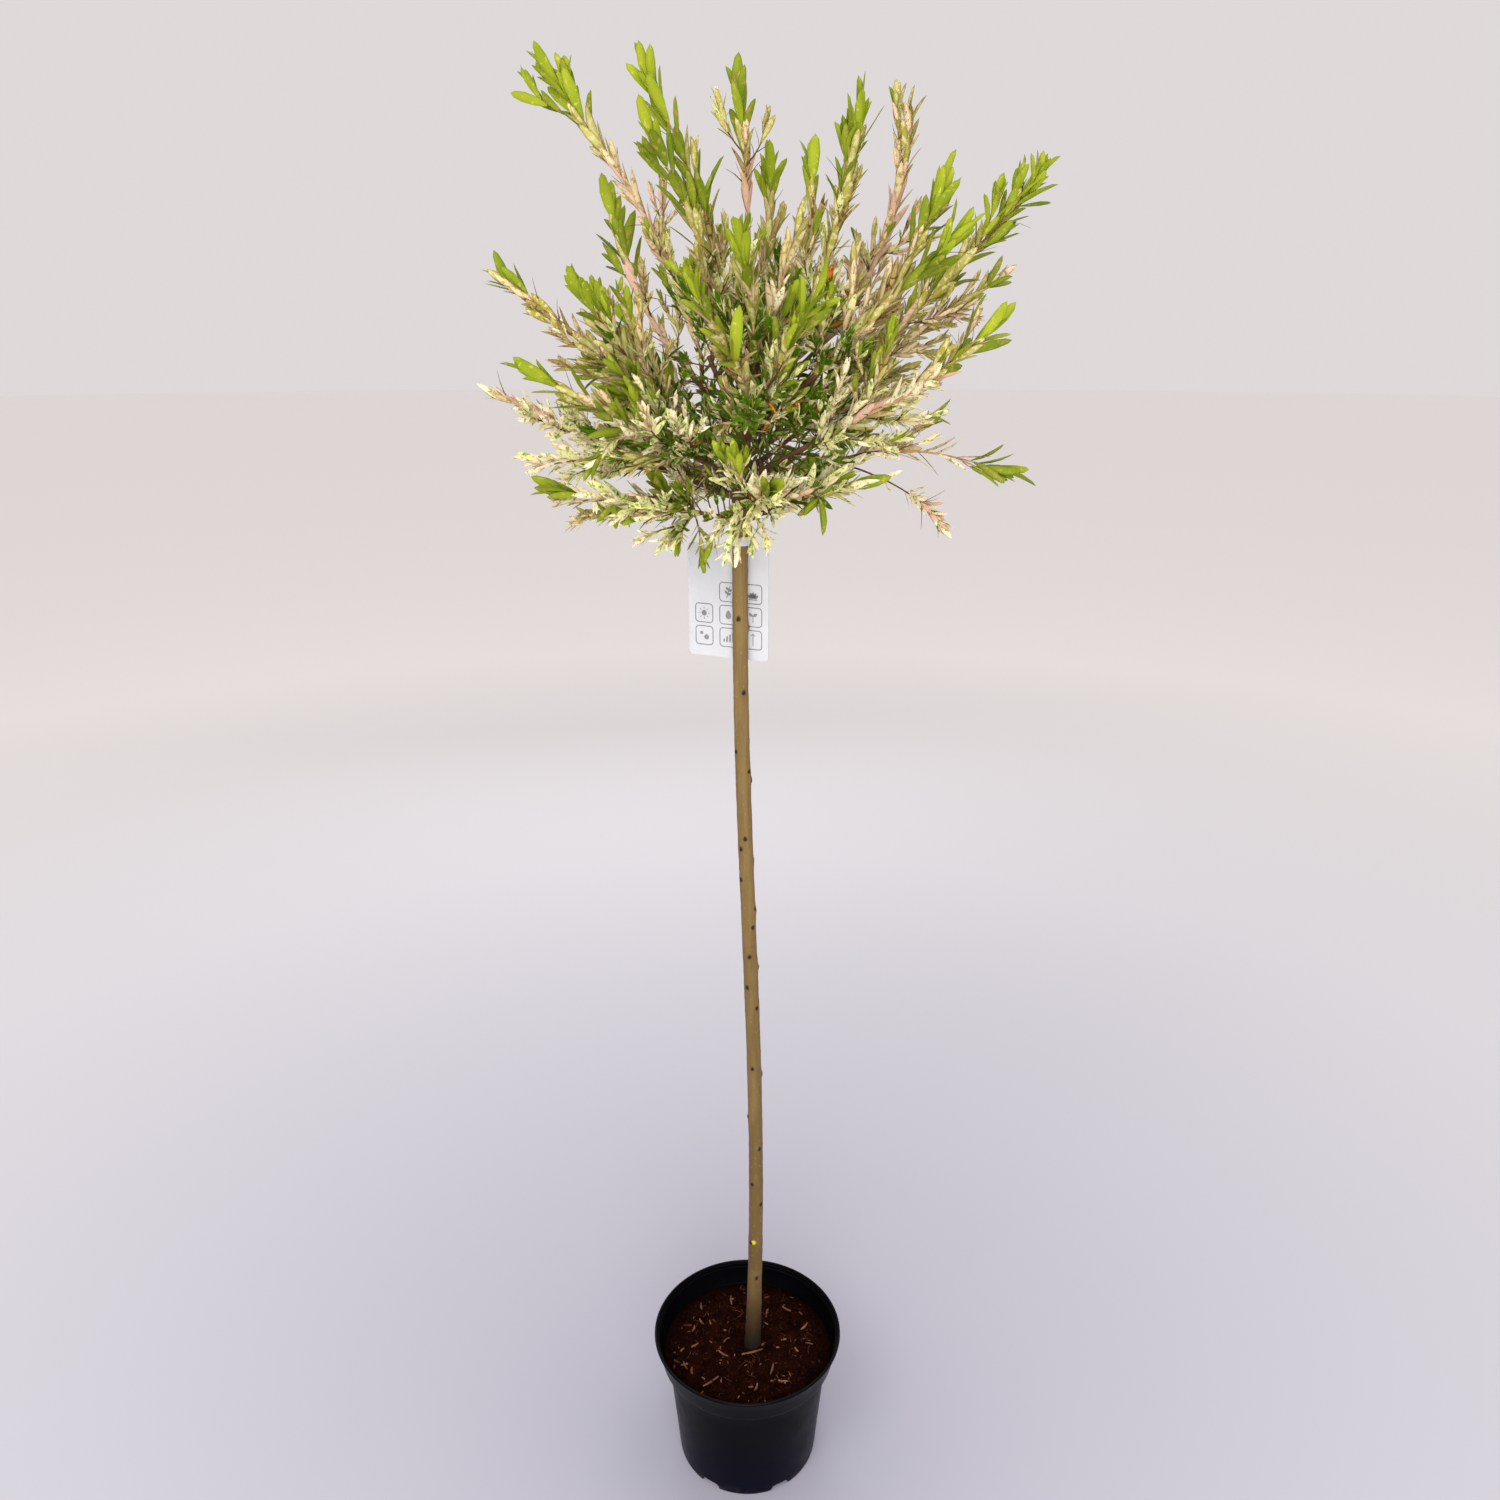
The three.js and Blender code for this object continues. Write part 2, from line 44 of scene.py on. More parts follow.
# Pot: radius and level up its outside from the foot to the lip, and down its inside to the floor.
POT_OUTSIDE = [
    (68.4, 0), (69.8, 0.3), (70.7, 1.0), (71.0, 2.2), (71.35, 6), (74.2, 38), (77.1, 70), (79.9, 100),
    (81.2, 113.6), (81.6, 114.9), (82.6, 116.0), (85.2, 117.0), (87.2, 117.8), (88.1, 119.0), (88.5, 121),
    (90.8, 131), (92.9, 140.2), (93.5, 141.6), (94.6, 142.2), (95.0, 143.1), (94.9, 144.2), (94.2, 145),
]
POT_INSIDE = [
    (92.8, 145), (92.3, 144.2), (92.0, 142.6), (91.4, 142.2), (91.0, 139.2), (90.4, 138.8), (89.9, 135.6),
    (88.6, 130), (86.6, 121.2), (86.0, 119.8), (84.4, 118.6), (80.8, 117.2), (79.8, 115.9), (78.4, 100),
    (74.6, 50), (70.3, 4.2), (69.0, 3),
]
POT_FLOOR = 3
POT_SIDES = 128
POT_CREASE_DEG = 40
FOOT_RADIUS = 71
DRAIN_COUNT = 6
DRAIN_WIDTH = 20
DRAIN_HEIGHT = 7
DRAIN_CORNER = 5
DRAIN_DEPTH = 12
FIRST_DRAIN_DEG = -62

# Compost
SOIL_LEVEL = 122
SOIL_EDGE_RADIUS = 86.2
SOIL_EDGE_LEVEL = 120.8
SOIL_DOME = 2.5
SOIL_FALL = 2.4
BED_SIDES = 96
BED_RINGS = 42
BED_INNER_RADIUS = 2
BED_LOWER_RADIUS = 79
BED_LOWER_LEVEL = 114.3
BED_SINK = 0.6
BED_EVEN_EDGE = 6

# The bed's lumps: their height, where in the noise they come from, and their width.
BED_LUMPS = [(1.5, 0, 17), (1.0, 9, 6), (0.5, 20, 2.5)]

# A shallow ring-shaped hollow round the stem's foot.
HOLLOW_DEPTH = 1.2
HOLLOW_X = 7
HOLLOW_RADIUS = 10
HOLLOW_WIDTH = 7

# Pale straws that lie on the compost: x, y, length, and turn in degrees.
STRAWS = [
    (-36, -48, 18, 33), (-50, 50, 11, -83), (-18, 58, 14, -86), (-49, 28, 10, -62), (5, -13, 22, 15),
    (-25, -15, 13, -39), (25, -34, 12, 74), (-63, -28, 12, -68), (30, -44, 10, -66), (42, 45, 10, -38),
    (-56, 19, 7, 75), (50, -9, 7, -60), (9, -55, 8, 67), (-55, -4, 10, 25), (20, 62, 9, 10), (60, 22, 11, 50),
]
STRAW_WIDTH = 2.2
STRAW_THICKNESS = 0.8
STRAW_BOW = 0.6
STRAW_LIFT = 0.9
STRAW_TILT = 1.1

# Trunk
TRUNK_FOOT = 122.3
TRUNK_TOP = 1052
TRUNK_RADIUS = 7.1
TRUNK_TIP_RADIUS = 6.3
FLARE = 1.6
FLARE_HEIGHT = 50
GRAFT_SWELL = 1.5
GRAFT_LEVEL = 1004
GRAFT_SPREAD = 34
KNOB_HEIGHT = 0.9
KNOB_SPREAD = 30
SWAY_MEAN = 1.5
SWAY = 7
SWAY_PEAK_LEVEL = 309
SWAY_HALF_WAVE = 591
DEPTH_SWAY = 3
TRUNK_SIDES = 40
TRUNK_STATION = 2.5

# Old bud scars that show on the stem's front: the level, and the turn from +X in degrees.
FRONT_SCARS = [
    (887, -101), (878, 0), (824, -71), (771, -139), (753, -43), (744, -16), (691, -90), (681, -122),
    (651, -134), (622, -30), (604, -60), (575, -93), (561, 0), (543, -120), (521, -53), (457, -102),
    (448, -7), (401, -160), (367, -61), (326, -119), (302, -51), (256, -128), (214, -78), (176, -24),
]
BACK_SCARS_FROM = 170
BACK_SCARS_TO = 1040
SCAR_HEIGHT = 1.0
SCAR_LENGTH = 2.4
SCAR_WIDTH = 2.0
NODE_HEIGHT = 0.45
NODE_LENGTH = 7
NODE_WIDTH = 5.0
NODE_REACH = 14

# Boughs, and the short stem that each mass stands on
BOUGH_SHARE = 0.2
BOUGH_SHORTEST = 26
BOUGH_LONGEST = 46
BOUGH_RADIUS = 2.8
BOUGH_TIP_RADIUS = 1.9
BOUGH_COLLAR = 1.1
BOUGH_POINTS = 11
CLEARANCE = 0.3
STEM_LENGTH = 9
STEM_SUNK = 1.5
STEM_RADII = [1.95, 1.75]

# Leading shoots, and the tufts on their free tips
LEADER_BEND = 0.42
LEADER_END = 27
LEADER_POINTS = 22
LOW_TIPS = 1060
FREE_TIP = 100
LEAST_CLOTHED = 0.35
TUFT_SPACING = 21
TUFT_STALK = 12
TUFT_POINTS = 4

# Side shoots in three ranks round their leading shoot, their own twiglets, and single shoots
RANK_ANGLE = math.pi * 2 / 3
RANK_SLACK = 0.9
TWIG_SPACING = 10
TWIG_LENGTH = 50
TWIG_TAPER = 0.62
TWIG_POINTS = 9
TWIGLET_LENGTH = 25
TWIGLET_TAPER = 0.4
TWIGLET_CHANCE = 0.75
TWIGLET_PLACES = (0.25, 0.5, 0.7)
HANGING_LEVEL = 1020
HANGING_DROP = 4
HANGING_LOSS = 0.75
RISING_BEND = (0.7, 0.7, 0.3)
HANGING_BEND = (0.7, 0.7, 0.25)

# The middle of the crown, and how the masses share the room
INNER_TWIGS = 10
INNER_TWIG_LENGTH = 44
INNER_LOWEST = 965
INNER_PALE_BELOW = 1000
INNER_MARGIN = 6
MINGLING = 12
LIMB_MARGIN = 1.0
CORE_LEVEL = 1050
CORE_REACH = 84
CORE_SHOOTS = 1.6
CORE_LEAVES = 1.2
LEADER_COAT_CHANCE = 0.2
COAT_BLUR = 0.10

# How leaves follow one another, and how long they are on each kind of shoot
LEAF_STEP = 8.0
CLOSE_STEP = LEAF_STEP * 0.8
HANGING_STEP = LEAF_STEP * 0.55
LEADER_LEAF = 31
TWIG_LEAF = 20
TWIGLET_LEAF = 16
INNER_LEAF = 17
SINGLE_LEAF = TWIG_LEAF * 1.15
HANGING_LEAF = TWIGLET_LEAF * 1.1
HANGING_END = TWIGLET_LEAF * 0.6
LEAF_SPREAD = 0.74
LEAF_CLOSING = 0.36
LONGEST_LEAF_AT = 0.7
PAIR_SLACK = 0.7
PAIR_STAGGER = 0.3
LEAF_SLACK = 0.5
TIP_SHARE = 0.99
TUFT = (0.03, 0.10, 0.15, 0.20, 0.27)
TUFT_TURN = 2.4
STRAY_SHARE = 0.08
LIGHT_PULL = 0.10

# A leaf's form: its width beside its length, its droop and its fold are each the least and what chance adds.
LEAF_WIDTH = (0.235, 0.055)
LEAF_DROOP = (-0.08, 0.26)
LEAF_FOLD = (0.25, 0.75)
LIMP_LEAF_DROOP = 2.0
FULL_FOLD = 0.55
LEAF_ROLL = 0.9
LEAF_TWIST = 0.9
LEAF_SWEEP = 0.18
THIN_LEAF_SWEEP = 0.7
LEAF_THICKNESS = 0.22
LEAF_STATIONS = (0.13, 0.38, 0.66, 0.90)

# Each kind of shoot: its radius at its root and at its tip, the share of its length from which its wood
# is young, and the share of its length from which it has leaves.
SHOOT_KINDS = {
    "leader": (1.7, 0.5, 0.5, 0.16),
    "side": (0.62, 0.3, 0.5, 0.15),
    "single": (0.8, 0.35, 0.7, 0.3),
    "inner": (0.7, 0.3, 0.8, 0.25),
    "stalk": (0.6, 0.35, 0, 0),
}

# Each kind of leaf: its half width at the stations, how far it stands off its shoot, its length and
# width beside those of a full green leaf, and its share of the full step to the next pair.
LEAF_SHAPES = {
    "lime": ((0.46, 0.90, 1.00, 0.66), 1.05, 1.15, 1.04, 1.25),
    "fresh": ((0.50, 0.96, 1.00, 0.58), 1.10, 1.12, 1.02, 1.45),
    "deep": ((0.62, 1.00, 0.82, 0.40), 1.35, 0.96, 1.06, 1.0),
    "olive": ((0.50, 0.95, 0.96, 0.54), 0.62, 0.94, 0.88, 0.8),
    "tan": ((0.52, 0.95, 0.94, 0.50), 0.56, 0.90, 0.76, 0.7),
    "pink": ((0.50, 0.92, 0.96, 0.50), 0.44, 0.98, 0.74, 0.7),
    "cream": ((0.60, 1.00, 0.84, 0.40), 1.00, 0.84, 0.80, 0.9),
    "dapple": ((0.60, 1.00, 0.84, 0.40), 1.15, 0.88, 0.90, 0.9),
    "dry": ((0.60, 0.90, 0.66, 0.30), 0.75, 0.82, 0.66, 0.8),
    "old": ((0.52, 0.95, 0.94, 0.50), 0.90, 1.05, 0.95, 0.9),
    "thin": ((0.60, 0.70, 0.50, 0.26), 2.10, 0.80, 0.20, 1.0),
    "bare": ((0, 0, 0, 0), 0, 0, 0, 1.0),
}

# Each kind's main tone, a near tone in patches, its flecks, their share, its rim, and the roughness.
LEAF_TONES = {
    "lime": ((154, 165, 42), (134, 150, 34), (178, 180, 76), 0.08, (120, 136, 30), 0.5),
    "fresh": ((130, 145, 36), (110, 128, 28), (166, 146, 74), 0.16, (96, 110, 24), 0.5),
    "deep": ((74, 110, 12), (50, 82, 4), (142, 148, 70), 0.22, (100, 122, 30), 0.5),
    "olive": ((158, 151, 62), (184, 180, 106), (202, 194, 136), 0.45, (114, 94, 38), 0.6),
    "tan": ((222, 200, 168), (203, 187, 132), (160, 145, 82), 0.35, (158, 122, 76), 0.6),
    "pink": ((214, 180, 162), (202, 170, 146), (190, 156, 120), 0.25, (184, 140, 112), 0.6),
    "cream": ((242, 232, 204), (228, 218, 176), (152, 160, 84), 0.32, (220, 202, 158), 0.6),
    "dapple": ((224, 223, 158), (206, 205, 128), (110, 138, 40), 0.38, (232, 226, 176), 0.55),
    "dry": ((152, 130, 78), (174, 150, 98), (100, 76, 40), 0.35, (96, 74, 40), 0.7),
    "old": ((196, 130, 36), (176, 100, 34), (120, 62, 30), 0.4, (104, 58, 28), 0.6),
    "thin": ((102, 92, 62), (136, 122, 80), (68, 60, 38), 0.4, (58, 50, 32), 0.7),
}

# Each mass of foliage: the level where its bough leaves the trunk, how full it is with side shoots, and
# its leading shoots' tips as (turn in degrees from +X, reach from the pot's middle line, height above the
# ground, the coat of its leaves, how far its path is drawn outward or, if the tip is low, upward).
MASSES = [
    ("left_high", 1031, 0.35, [
        (165, 160, 1308, "lime_on_blush", -60), (143, 148, 1216, "lime_on_pink", 20),
    ]),
    ("crest_left", 1046, 0.3, [(210, 80, 1291, "lime_long", -60), (-143, 84, 1253, "lime_long", -45)]),
    ("crest_centre", 1047, 0.6, [(97, 50, 1299, "cream_tuft", 0), (73, 76, 1243, "lime_on_tan", 45)]),
    ("crest_right", 1046, 0.55, [(30, 62, 1244, "lime_on_tan", 0), (-13, 91, 1271, "lime_on_tan", 10)]),
    ("right_high", 1032, 0.6, [(27, 154, 1283, "pink", 60), (52, 138, 1236, "tan", 0)]),
    ("right_front_high", 1030, 0.75, [
        (-22, 159, 1212, "lime_on_tan", 15), (-27, 176, 1180, "lime_on_tan", 0),
    ]),
    ("right_far", 1014, 0.85, [(5, 230, 1226, "green_comb", 0), (15, 224, 1159, "olive", 0)]),
    ("right_mid", 998, 0.9, [(-17, 202, 1119, "green_comb", 20), (-36, 178, 1082, "pale", 0)]),
    ("right_low", 982, 0.3, [(5, 226, 1007, "sparse_lime", 25), (28, 190, 1040, "tan", 0)]),
    ("right_low_front", 965, 0.3, [
        (-31, 116, 1005, "white_green", 0), (-36, 96, 1010, "white_green", 0),
        (-10, 98, 1018, "white_green", 0),
    ]),
    ("left_mid", 1013, 1.1, [(169, 210, 1158, "olive", 0), (-158, 140, 1146, "lime_on_tan", 0)]),
    ("left_low", 984, 1.8, [(170, 224, 1068, "pale", 0), (164, 204, 1012, "white", 0)]),
    ("left_front", 998, 1.5, [(-154, 180, 1085, "lime_on_tan", 0), (-130, 165, 1056, "white_green", 0)]),
    ("left_low_front", 966, 0.95, [
        (-159, 165, 997, "white_lime", 0), (168, 132, 971, "pale", 0), (-148, 82, 954, "white", 0),
        (-142, 98, 1004, "green", 0),
    ]),
    ("front_crest", 1032, 0.8, [(-61, 85, 1193, "tan", 0), (-91, 100, 1176, "lime_on_tan", 0)]),
    ("front_mid", 1009, 0.8, [(-97, 151, 1115, "fresh_tip", 0), (-67, 135, 1144, "fresh_tip", 0)]),
    ("front_low", 976, 1.2, [
        (-81, 122, 1004, "white_lime", 0), (-98, 68, 956, "white", 0), (-62, 90, 1006, "white", 0),
    ]),
    ("back_high", 1030, 0.4, [(106, 150, 1218, "lime_long", 0), (68, 166, 1200, "tan", 0)]),
    ("back_right", 1003, 0.9, [(50, 205, 1120, "olive", 0), (36, 212, 1080, "pale", 0)]),
    ("back_left", 1008, 0.9, [(125, 200, 1130, "lime_on_tan", 0), (146, 206, 1090, "pink", 0)]),
    ("back_low", 975, 0.4, [
        (96, 190, 1022, "white_lime", 0), (66, 150, 1000, "green", 0), (124, 150, 1002, "pale", 0),
    ]),
]

# Shoots that show singly, below the crown, in front of it or between its leading shoots. For each mass:
# which of its leading shoots they leave, at what share of its length, and their tip and coat as above.
SINGLE_SHOOTS = {
    "left_high": [
        (0, 0.90, 165, 170, 1291, "lime"), (0, 0.88, 164, 141, 1297, "lime"),
        (1, 0.45, -165, 80, 1160, "tan"),
    ],
    "crest_left": [(0, 0.30, -131, 53, 1169, "olive")],
    "crest_centre": [(0, 0.84, 114, 56, 1284, "tuft"), (0, 0.80, 72, 53, 1270, "tuft")],
    "crest_right": [(1, 0.55, -8, 73, 1251, "green")],
    "right_high": [(0, 0.86, 28, 130, 1288, "olive")],
    "right_front_high": [(0, 0.30, -21, 85, 1173, "tan")],
    "right_far": [
        (0, 0.74, 3, 188, 1213, "lime"), (0, 0.83, 3, 203, 1223, "lime"), (0, 0.92, 4, 219, 1229, "lime"),
    ],
    "right_mid": [(1, 0.50, -30, 121, 1118, "lime_on_tan"), (0, 0.62, -12, 174, 1130, "tan")],
    "right_low": [(1, 0.40, -22, 160, 967, "sparse")],
    "right_low_front": [(1, 0.60, -46, 90, 998, "green")],
    "left_mid": [
        (1, 0.55, -175, 115, 1144, "green"), (1, 0.60, -158, 108, 1138, "olive"),
        (1, 0.40, -174, 91, 1143, "fresh_tip"), (1, 0.45, -147, 92, 1138, "tan"),
        (1, 0.60, -158, 109, 1132, "green"), (0, 0.50, 178, 148, 1122, "tan"),
    ],
    "left_low": [
        (0, 0.72, -170, 172, 1060, "white"), (0, 0.62, -161, 156, 1053, "pale"),
        (0, 0.55, -164, 142, 1071, "white"), (1, 0.35, -160, 118, 1005, "white_green"),
        (1, 0.30, 175, 106, 1006, "green"), (1, 0.70, 172, 176, 1000, "pale"),
        (1, 0.50, 178, 150, 990, "white_green"),
    ],
    "left_front": [
        (0, 0.45, -157, 126, 1010, "white_green"), (1, 0.45, -123, 131, 1064, "pale"),
        (0, 0.50, -142, 131, 1026, "white_green"),
    ],
    "left_low_front": [
        (0, 0.60, -156, 122, 996, "green"), (0, 0.75, -167, 132, 999, "white_green"),
        (3, 0.90, -149, 112, 994, "olive"), (1, 0.75, -162, 132, 974, "olive"),
        (1, 0.60, -172, 118, 968, "white"), (2, 0.85, -150, 96, 954, "white"),
        (2, 0.80, -141, 84, 951, "white"), (2, 0.70, -134, 74, 953, "white_green"),
        (2, 0.40, -139, 46, 937, "green"), (0, 0.70, -166, 150, 984, "tan"),
        (3, 0.80, -152, 112, 972, "white_green"), (1, 0.90, -176, 138, 962, "pale"),
    ],
    "front_crest": [(1, 0.35, -119, 80, 1147, "lime_on_pink")],
    "front_mid": [(1, 0.45, -75, 119, 1116, "lime_on_tan")],
    "front_low": [
        (1, 0.70, -105, 60, 943, "white"), (1, 0.50, -76, 64, 954, "white"),
        (1, 0.55, -124, 54, 946, "white_green"), (1, 0.80, -97, 60, 944, "white"),
        (1, 0.60, -84, 44, 948, "white"), (0, 0.50, -88, 92, 976, "white"),
        (0, 0.60, -76, 88, 986, "white"), (0, 0.45, -95, 95, 1029, "lime_on_tan"),
    ],
}

# A shoot's coat: up to each share of its length, the kinds of leaf and their weights.
# Bare stands for no leaf.
COATS = {
    "lime_long": [
        (0.34, {"olive": 3, "tan": 4, "dapple": 2, "dry": 3}),
        (0.55, {"olive": 4, "tan": 2, "fresh": 1, "dapple": 1, "dry": 2}),
        (0.80, {"fresh": 6, "olive": 4}),
        (0.90, {"fresh": 2, "lime": 1}),
        (1.01, {"lime": 1}),
    ],
    "lime": [(0.40, {"fresh": 1}), (1.01, {"lime": 1})],
    "tuft": [(1.01, {"olive": 4, "cream": 1, "dapple": 1, "thin": 1})],
    "fresh_tip": [
        (0.50, {"tan": 4, "dapple": 3, "cream": 1, "olive": 2}),
        (0.80, {"olive": 4, "tan": 3, "dapple": 2, "dry": 3}),
        (1.01, {"fresh": 2, "olive": 4, "lime": 1}),
    ],
    "lime_on_tan": [
        (0.50, {"tan": 3, "olive": 2, "dapple": 3, "cream": 2, "dry": 2}),
        (0.76, {"tan": 2, "olive": 6, "dry": 3}),
        (0.88, {"fresh": 3, "olive": 3}),
        (1.01, {"lime": 1}),
    ],
    "lime_on_blush": [
        (0.50, {"tan": 4, "olive": 2, "dapple": 2, "dry": 1}),
        (0.75, {"tan": 4, "pink": 4, "cream": 1}),
        (0.84, {"olive": 2, "dry": 3}),
        (0.91, {"fresh": 3, "olive": 1}),
        (1.01, {"lime": 1}),
    ],
    "lime_on_pink": [
        (0.40, {"tan": 3, "dapple": 1, "pink": 2, "dry": 1}),
        (0.62, {"pink": 4, "tan": 2, "bare": 1}),
        (0.86, {"fresh": 4, "olive": 2}),
        (1.01, {"lime": 1}),
    ],
    "cream_tuft": [
        (0.38, {"tan": 3, "olive": 2, "dry": 1}),
        (0.58, {"bare": 1}),
        (0.72, {"pink": 1}),
        (0.84, {"dry": 2, "tan": 2, "olive": 1}),
        (1.01, {"olive": 4, "cream": 1, "fresh": 1, "lime": 1, "thin": 1}),
    ],
    "green": [
        (0.40, {"deep": 4, "olive": 2, "dapple": 2}),
        (0.75, {"fresh": 2, "deep": 2, "olive": 3, "dapple": 1}),
        (1.01, {"fresh": 3, "lime": 2}),
    ],
    "green_comb": [
        (0.62, {"olive": 3, "tan": 4, "dapple": 2, "dry": 1}),
        (0.88, {"fresh": 4, "olive": 3}),
        (1.01, {"lime": 1}),
    ],
    "olive": [
        (0.50, {"tan": 4, "olive": 3, "pink": 1, "dry": 1}),
        (0.82, {"olive": 3, "dry": 2, "tan": 3}),
        (1.01, {"fresh": 1, "olive": 3, "tan": 1}),
    ],
    "pink": [
        (0.42, {"tan": 4, "olive": 2, "pink": 2, "dry": 1}),
        (0.78, {"pink": 5, "tan": 1}),
        (1.01, {"pink": 1, "tan": 4, "olive": 3, "dry": 1}),
    ],
    "tan": [
        (0.50, {"dapple": 2, "tan": 5, "olive": 1, "dry": 1}),
        (0.88, {"tan": 5, "cream": 1, "pink": 1, "dry": 1}),
        (1.01, {"olive": 3, "tan": 3, "fresh": 1}),
    ],
    "pale": [
        (0.50, {"cream": 4, "tan": 2, "dapple": 2, "bare": 1}),
        (0.86, {"pink": 2, "cream": 4, "tan": 1, "bare": 1}),
        (1.01, {"cream": 3, "pink": 1, "tan": 1}),
    ],
    "sparse": [(0.48, {"bare": 8, "cream": 1, "dry": 1}), (1.01, {"cream": 4, "dapple": 1, "pink": 1})],
    "sparse_lime": [
        (0.45, {"bare": 5, "cream": 1, "tan": 1}),
        (0.84, {"cream": 2, "tan": 2, "bare": 4}),
        (1.01, {"fresh": 1, "lime": 2}),
    ],
    "white": [(0.45, {"cream": 3, "dapple": 4, "bare": 2}), (1.01, {"cream": 5, "dapple": 4, "bare": 1})],
    "white_green": [
        (0.45, {"deep": 2, "dapple": 3, "cream": 1, "olive": 2, "bare": 1}),
        (0.80, {"dapple": 4, "cream": 3}),
        (1.01, {"cream": 3, "dapple": 2, "fresh": 1}),
    ],
    "white_lime": [
        (0.40, {"deep": 2, "dapple": 3, "bare": 2}),
        (0.88, {"cream": 4, "dapple": 3, "bare": 1}),
        (1.01, {"lime": 2, "fresh": 1}),
    ],
    "core": [
        (0.60, {"deep": 70, "dapple": 20, "dry": 10, "tan": 8, "old": 4}),
        (1.01, {"deep": 50, "fresh": 10, "dapple": 20, "cream": 10, "tan": 10, "old": 2}),
    ],
}

# Side shoots take their coat by where they stand: (lowest height of the zone, its coats and weights).
SIDE_COATS = [
    (1130, {"fresh_tip": 2, "tan": 4, "olive": 8, "pink": 1}),
    (1060, {
        "tan": 5, "fresh_tip": 3, "green": 2, "lime_on_tan": 1, "white": 1, "pink": 1, "olive": 3, "pale": 2,
        "white_lime": 1,
    }),
    (1000, {
        "white_green": 2, "green": 4, "white": 2, "tan": 3, "pale": 2, "white_lime": 1, "fresh_tip": 2,
        "olive": 2,
    }),
    (0, {"white_green": 4, "green": 3, "white": 4, "pale": 2, "white_lime": 1, "tan": 1}),
]

# Label, and the room that leaves leave it
CARD_WIDTH = 73
CARD_HEIGHT = 95
CARD_THICKNESS = 0.8
CARD_LEVEL = 897
CARD_OFFSET = -14.5
CARD_TURN = math.radians(24)
CARD_CORNER = 4
CARD_CREASE_DEG = 35
CARD_ROOM_BESIDE = 6
CARD_ROOM_ABOVE = 4
CARD_ROOM_NEAR = 3
CARD_ROOM_FAR = 13
STRAP_LEVEL = 950
STRAP_HEIGHT = 7
STRAP_LAP = 4
STRAP_SIDES = 48
PRINT_THICKNESS = 0.12
FRAME_SIZE = 16.6
FRAME_LINE = 0.7
FRAME_CORNER = 3.2
FRAME_INNER_CORNER = 2.5
FRAME_COLUMNS = (-22.1, 0.3, 22.7)
FRAME_ROWS = (8.3, -10.9, -30.1)

# Stage and light
FLOOR_RADIUS = 30000
FLOOR_SIDES = 96
FLOOR_THICKNESS = 2
ROOM_COLOUR = (0.735, 0.695, 0.69, 1)

# Each lamp: its place, what it is aimed at, its width in metres, its watts and its colour.
LAMPS = {
    "key_lamp": ((-0.8, -1.5, 2.4), (0, 0, 1.05), 1.3, 22, (1.0, 0.97, 0.92)),
    "front_lamp": ((0.15, -2.0, 1.35), (0, 0, 0.95), 1.4, 25, (1.0, 0.98, 0.94)),
    "low_lamp": ((-0.1, -1.5, 0.55), (0, 0, 1.1), 0.9, 8, (1.0, 0.97, 0.90)),
    "top_lamp": ((0.5, 0.3, 2.6), (0, 0, 1.1), 1.4, 8, (1.0, 0.97, 0.93)),
    "back_lamp": ((-0.3, 2.0, 1.6), (0, 0, 1.0), 1.4, 9, (1.0, 0.98, 0.96)),
}

# The photo's camera: its place in metres, how far it looks down, and its lens and sensor in millimetres.
CAMERA_PLACE = (0.002656, -0.95414, 1.10097)
CAMERA_DOWN_DEG = 19.038
CAMERA_LENS = 28.363
SENSOR_WIDTH = 36

BOUGH_NODES = ["bough_" + mass[0] for mass in MASSES]
FOLIAGE_NODES = ["foliage_" + mass[0] for mass in MASSES]


# Colours and materials


def paint(red, green, blue):
    """A colour as it is seen, from 0 to 255, made linear."""
    channels = [value / 255 for value in (red, green, blue)]
    linear = [c / 12.92 if c < 0.04045 else ((c + 0.055) / 1.055) ** 2.4 for c in channels]
    return (*linear, 1.0)


def plug(tree, socket, value):
    if isinstance(value, bpy.types.NodeSocket):
        tree.links.new(value, socket)
    else:
        socket.default_value = value


def add_node(tree, kind, settings=None, numbered=None, **inputs):
    """A new node; its inputs are numbers, colours or other nodes' outputs, by socket number or name."""
    node = tree.nodes.new(kind)
    for name, value in (settings or {}).items():
        setattr(node, name, value)
    for number, value in (numbered or {}).items():
        plug(tree, node.inputs[number], value)
    for name, value in inputs.items():
        plug(tree, node.inputs[name.replace("_", " ")], value)
    return node


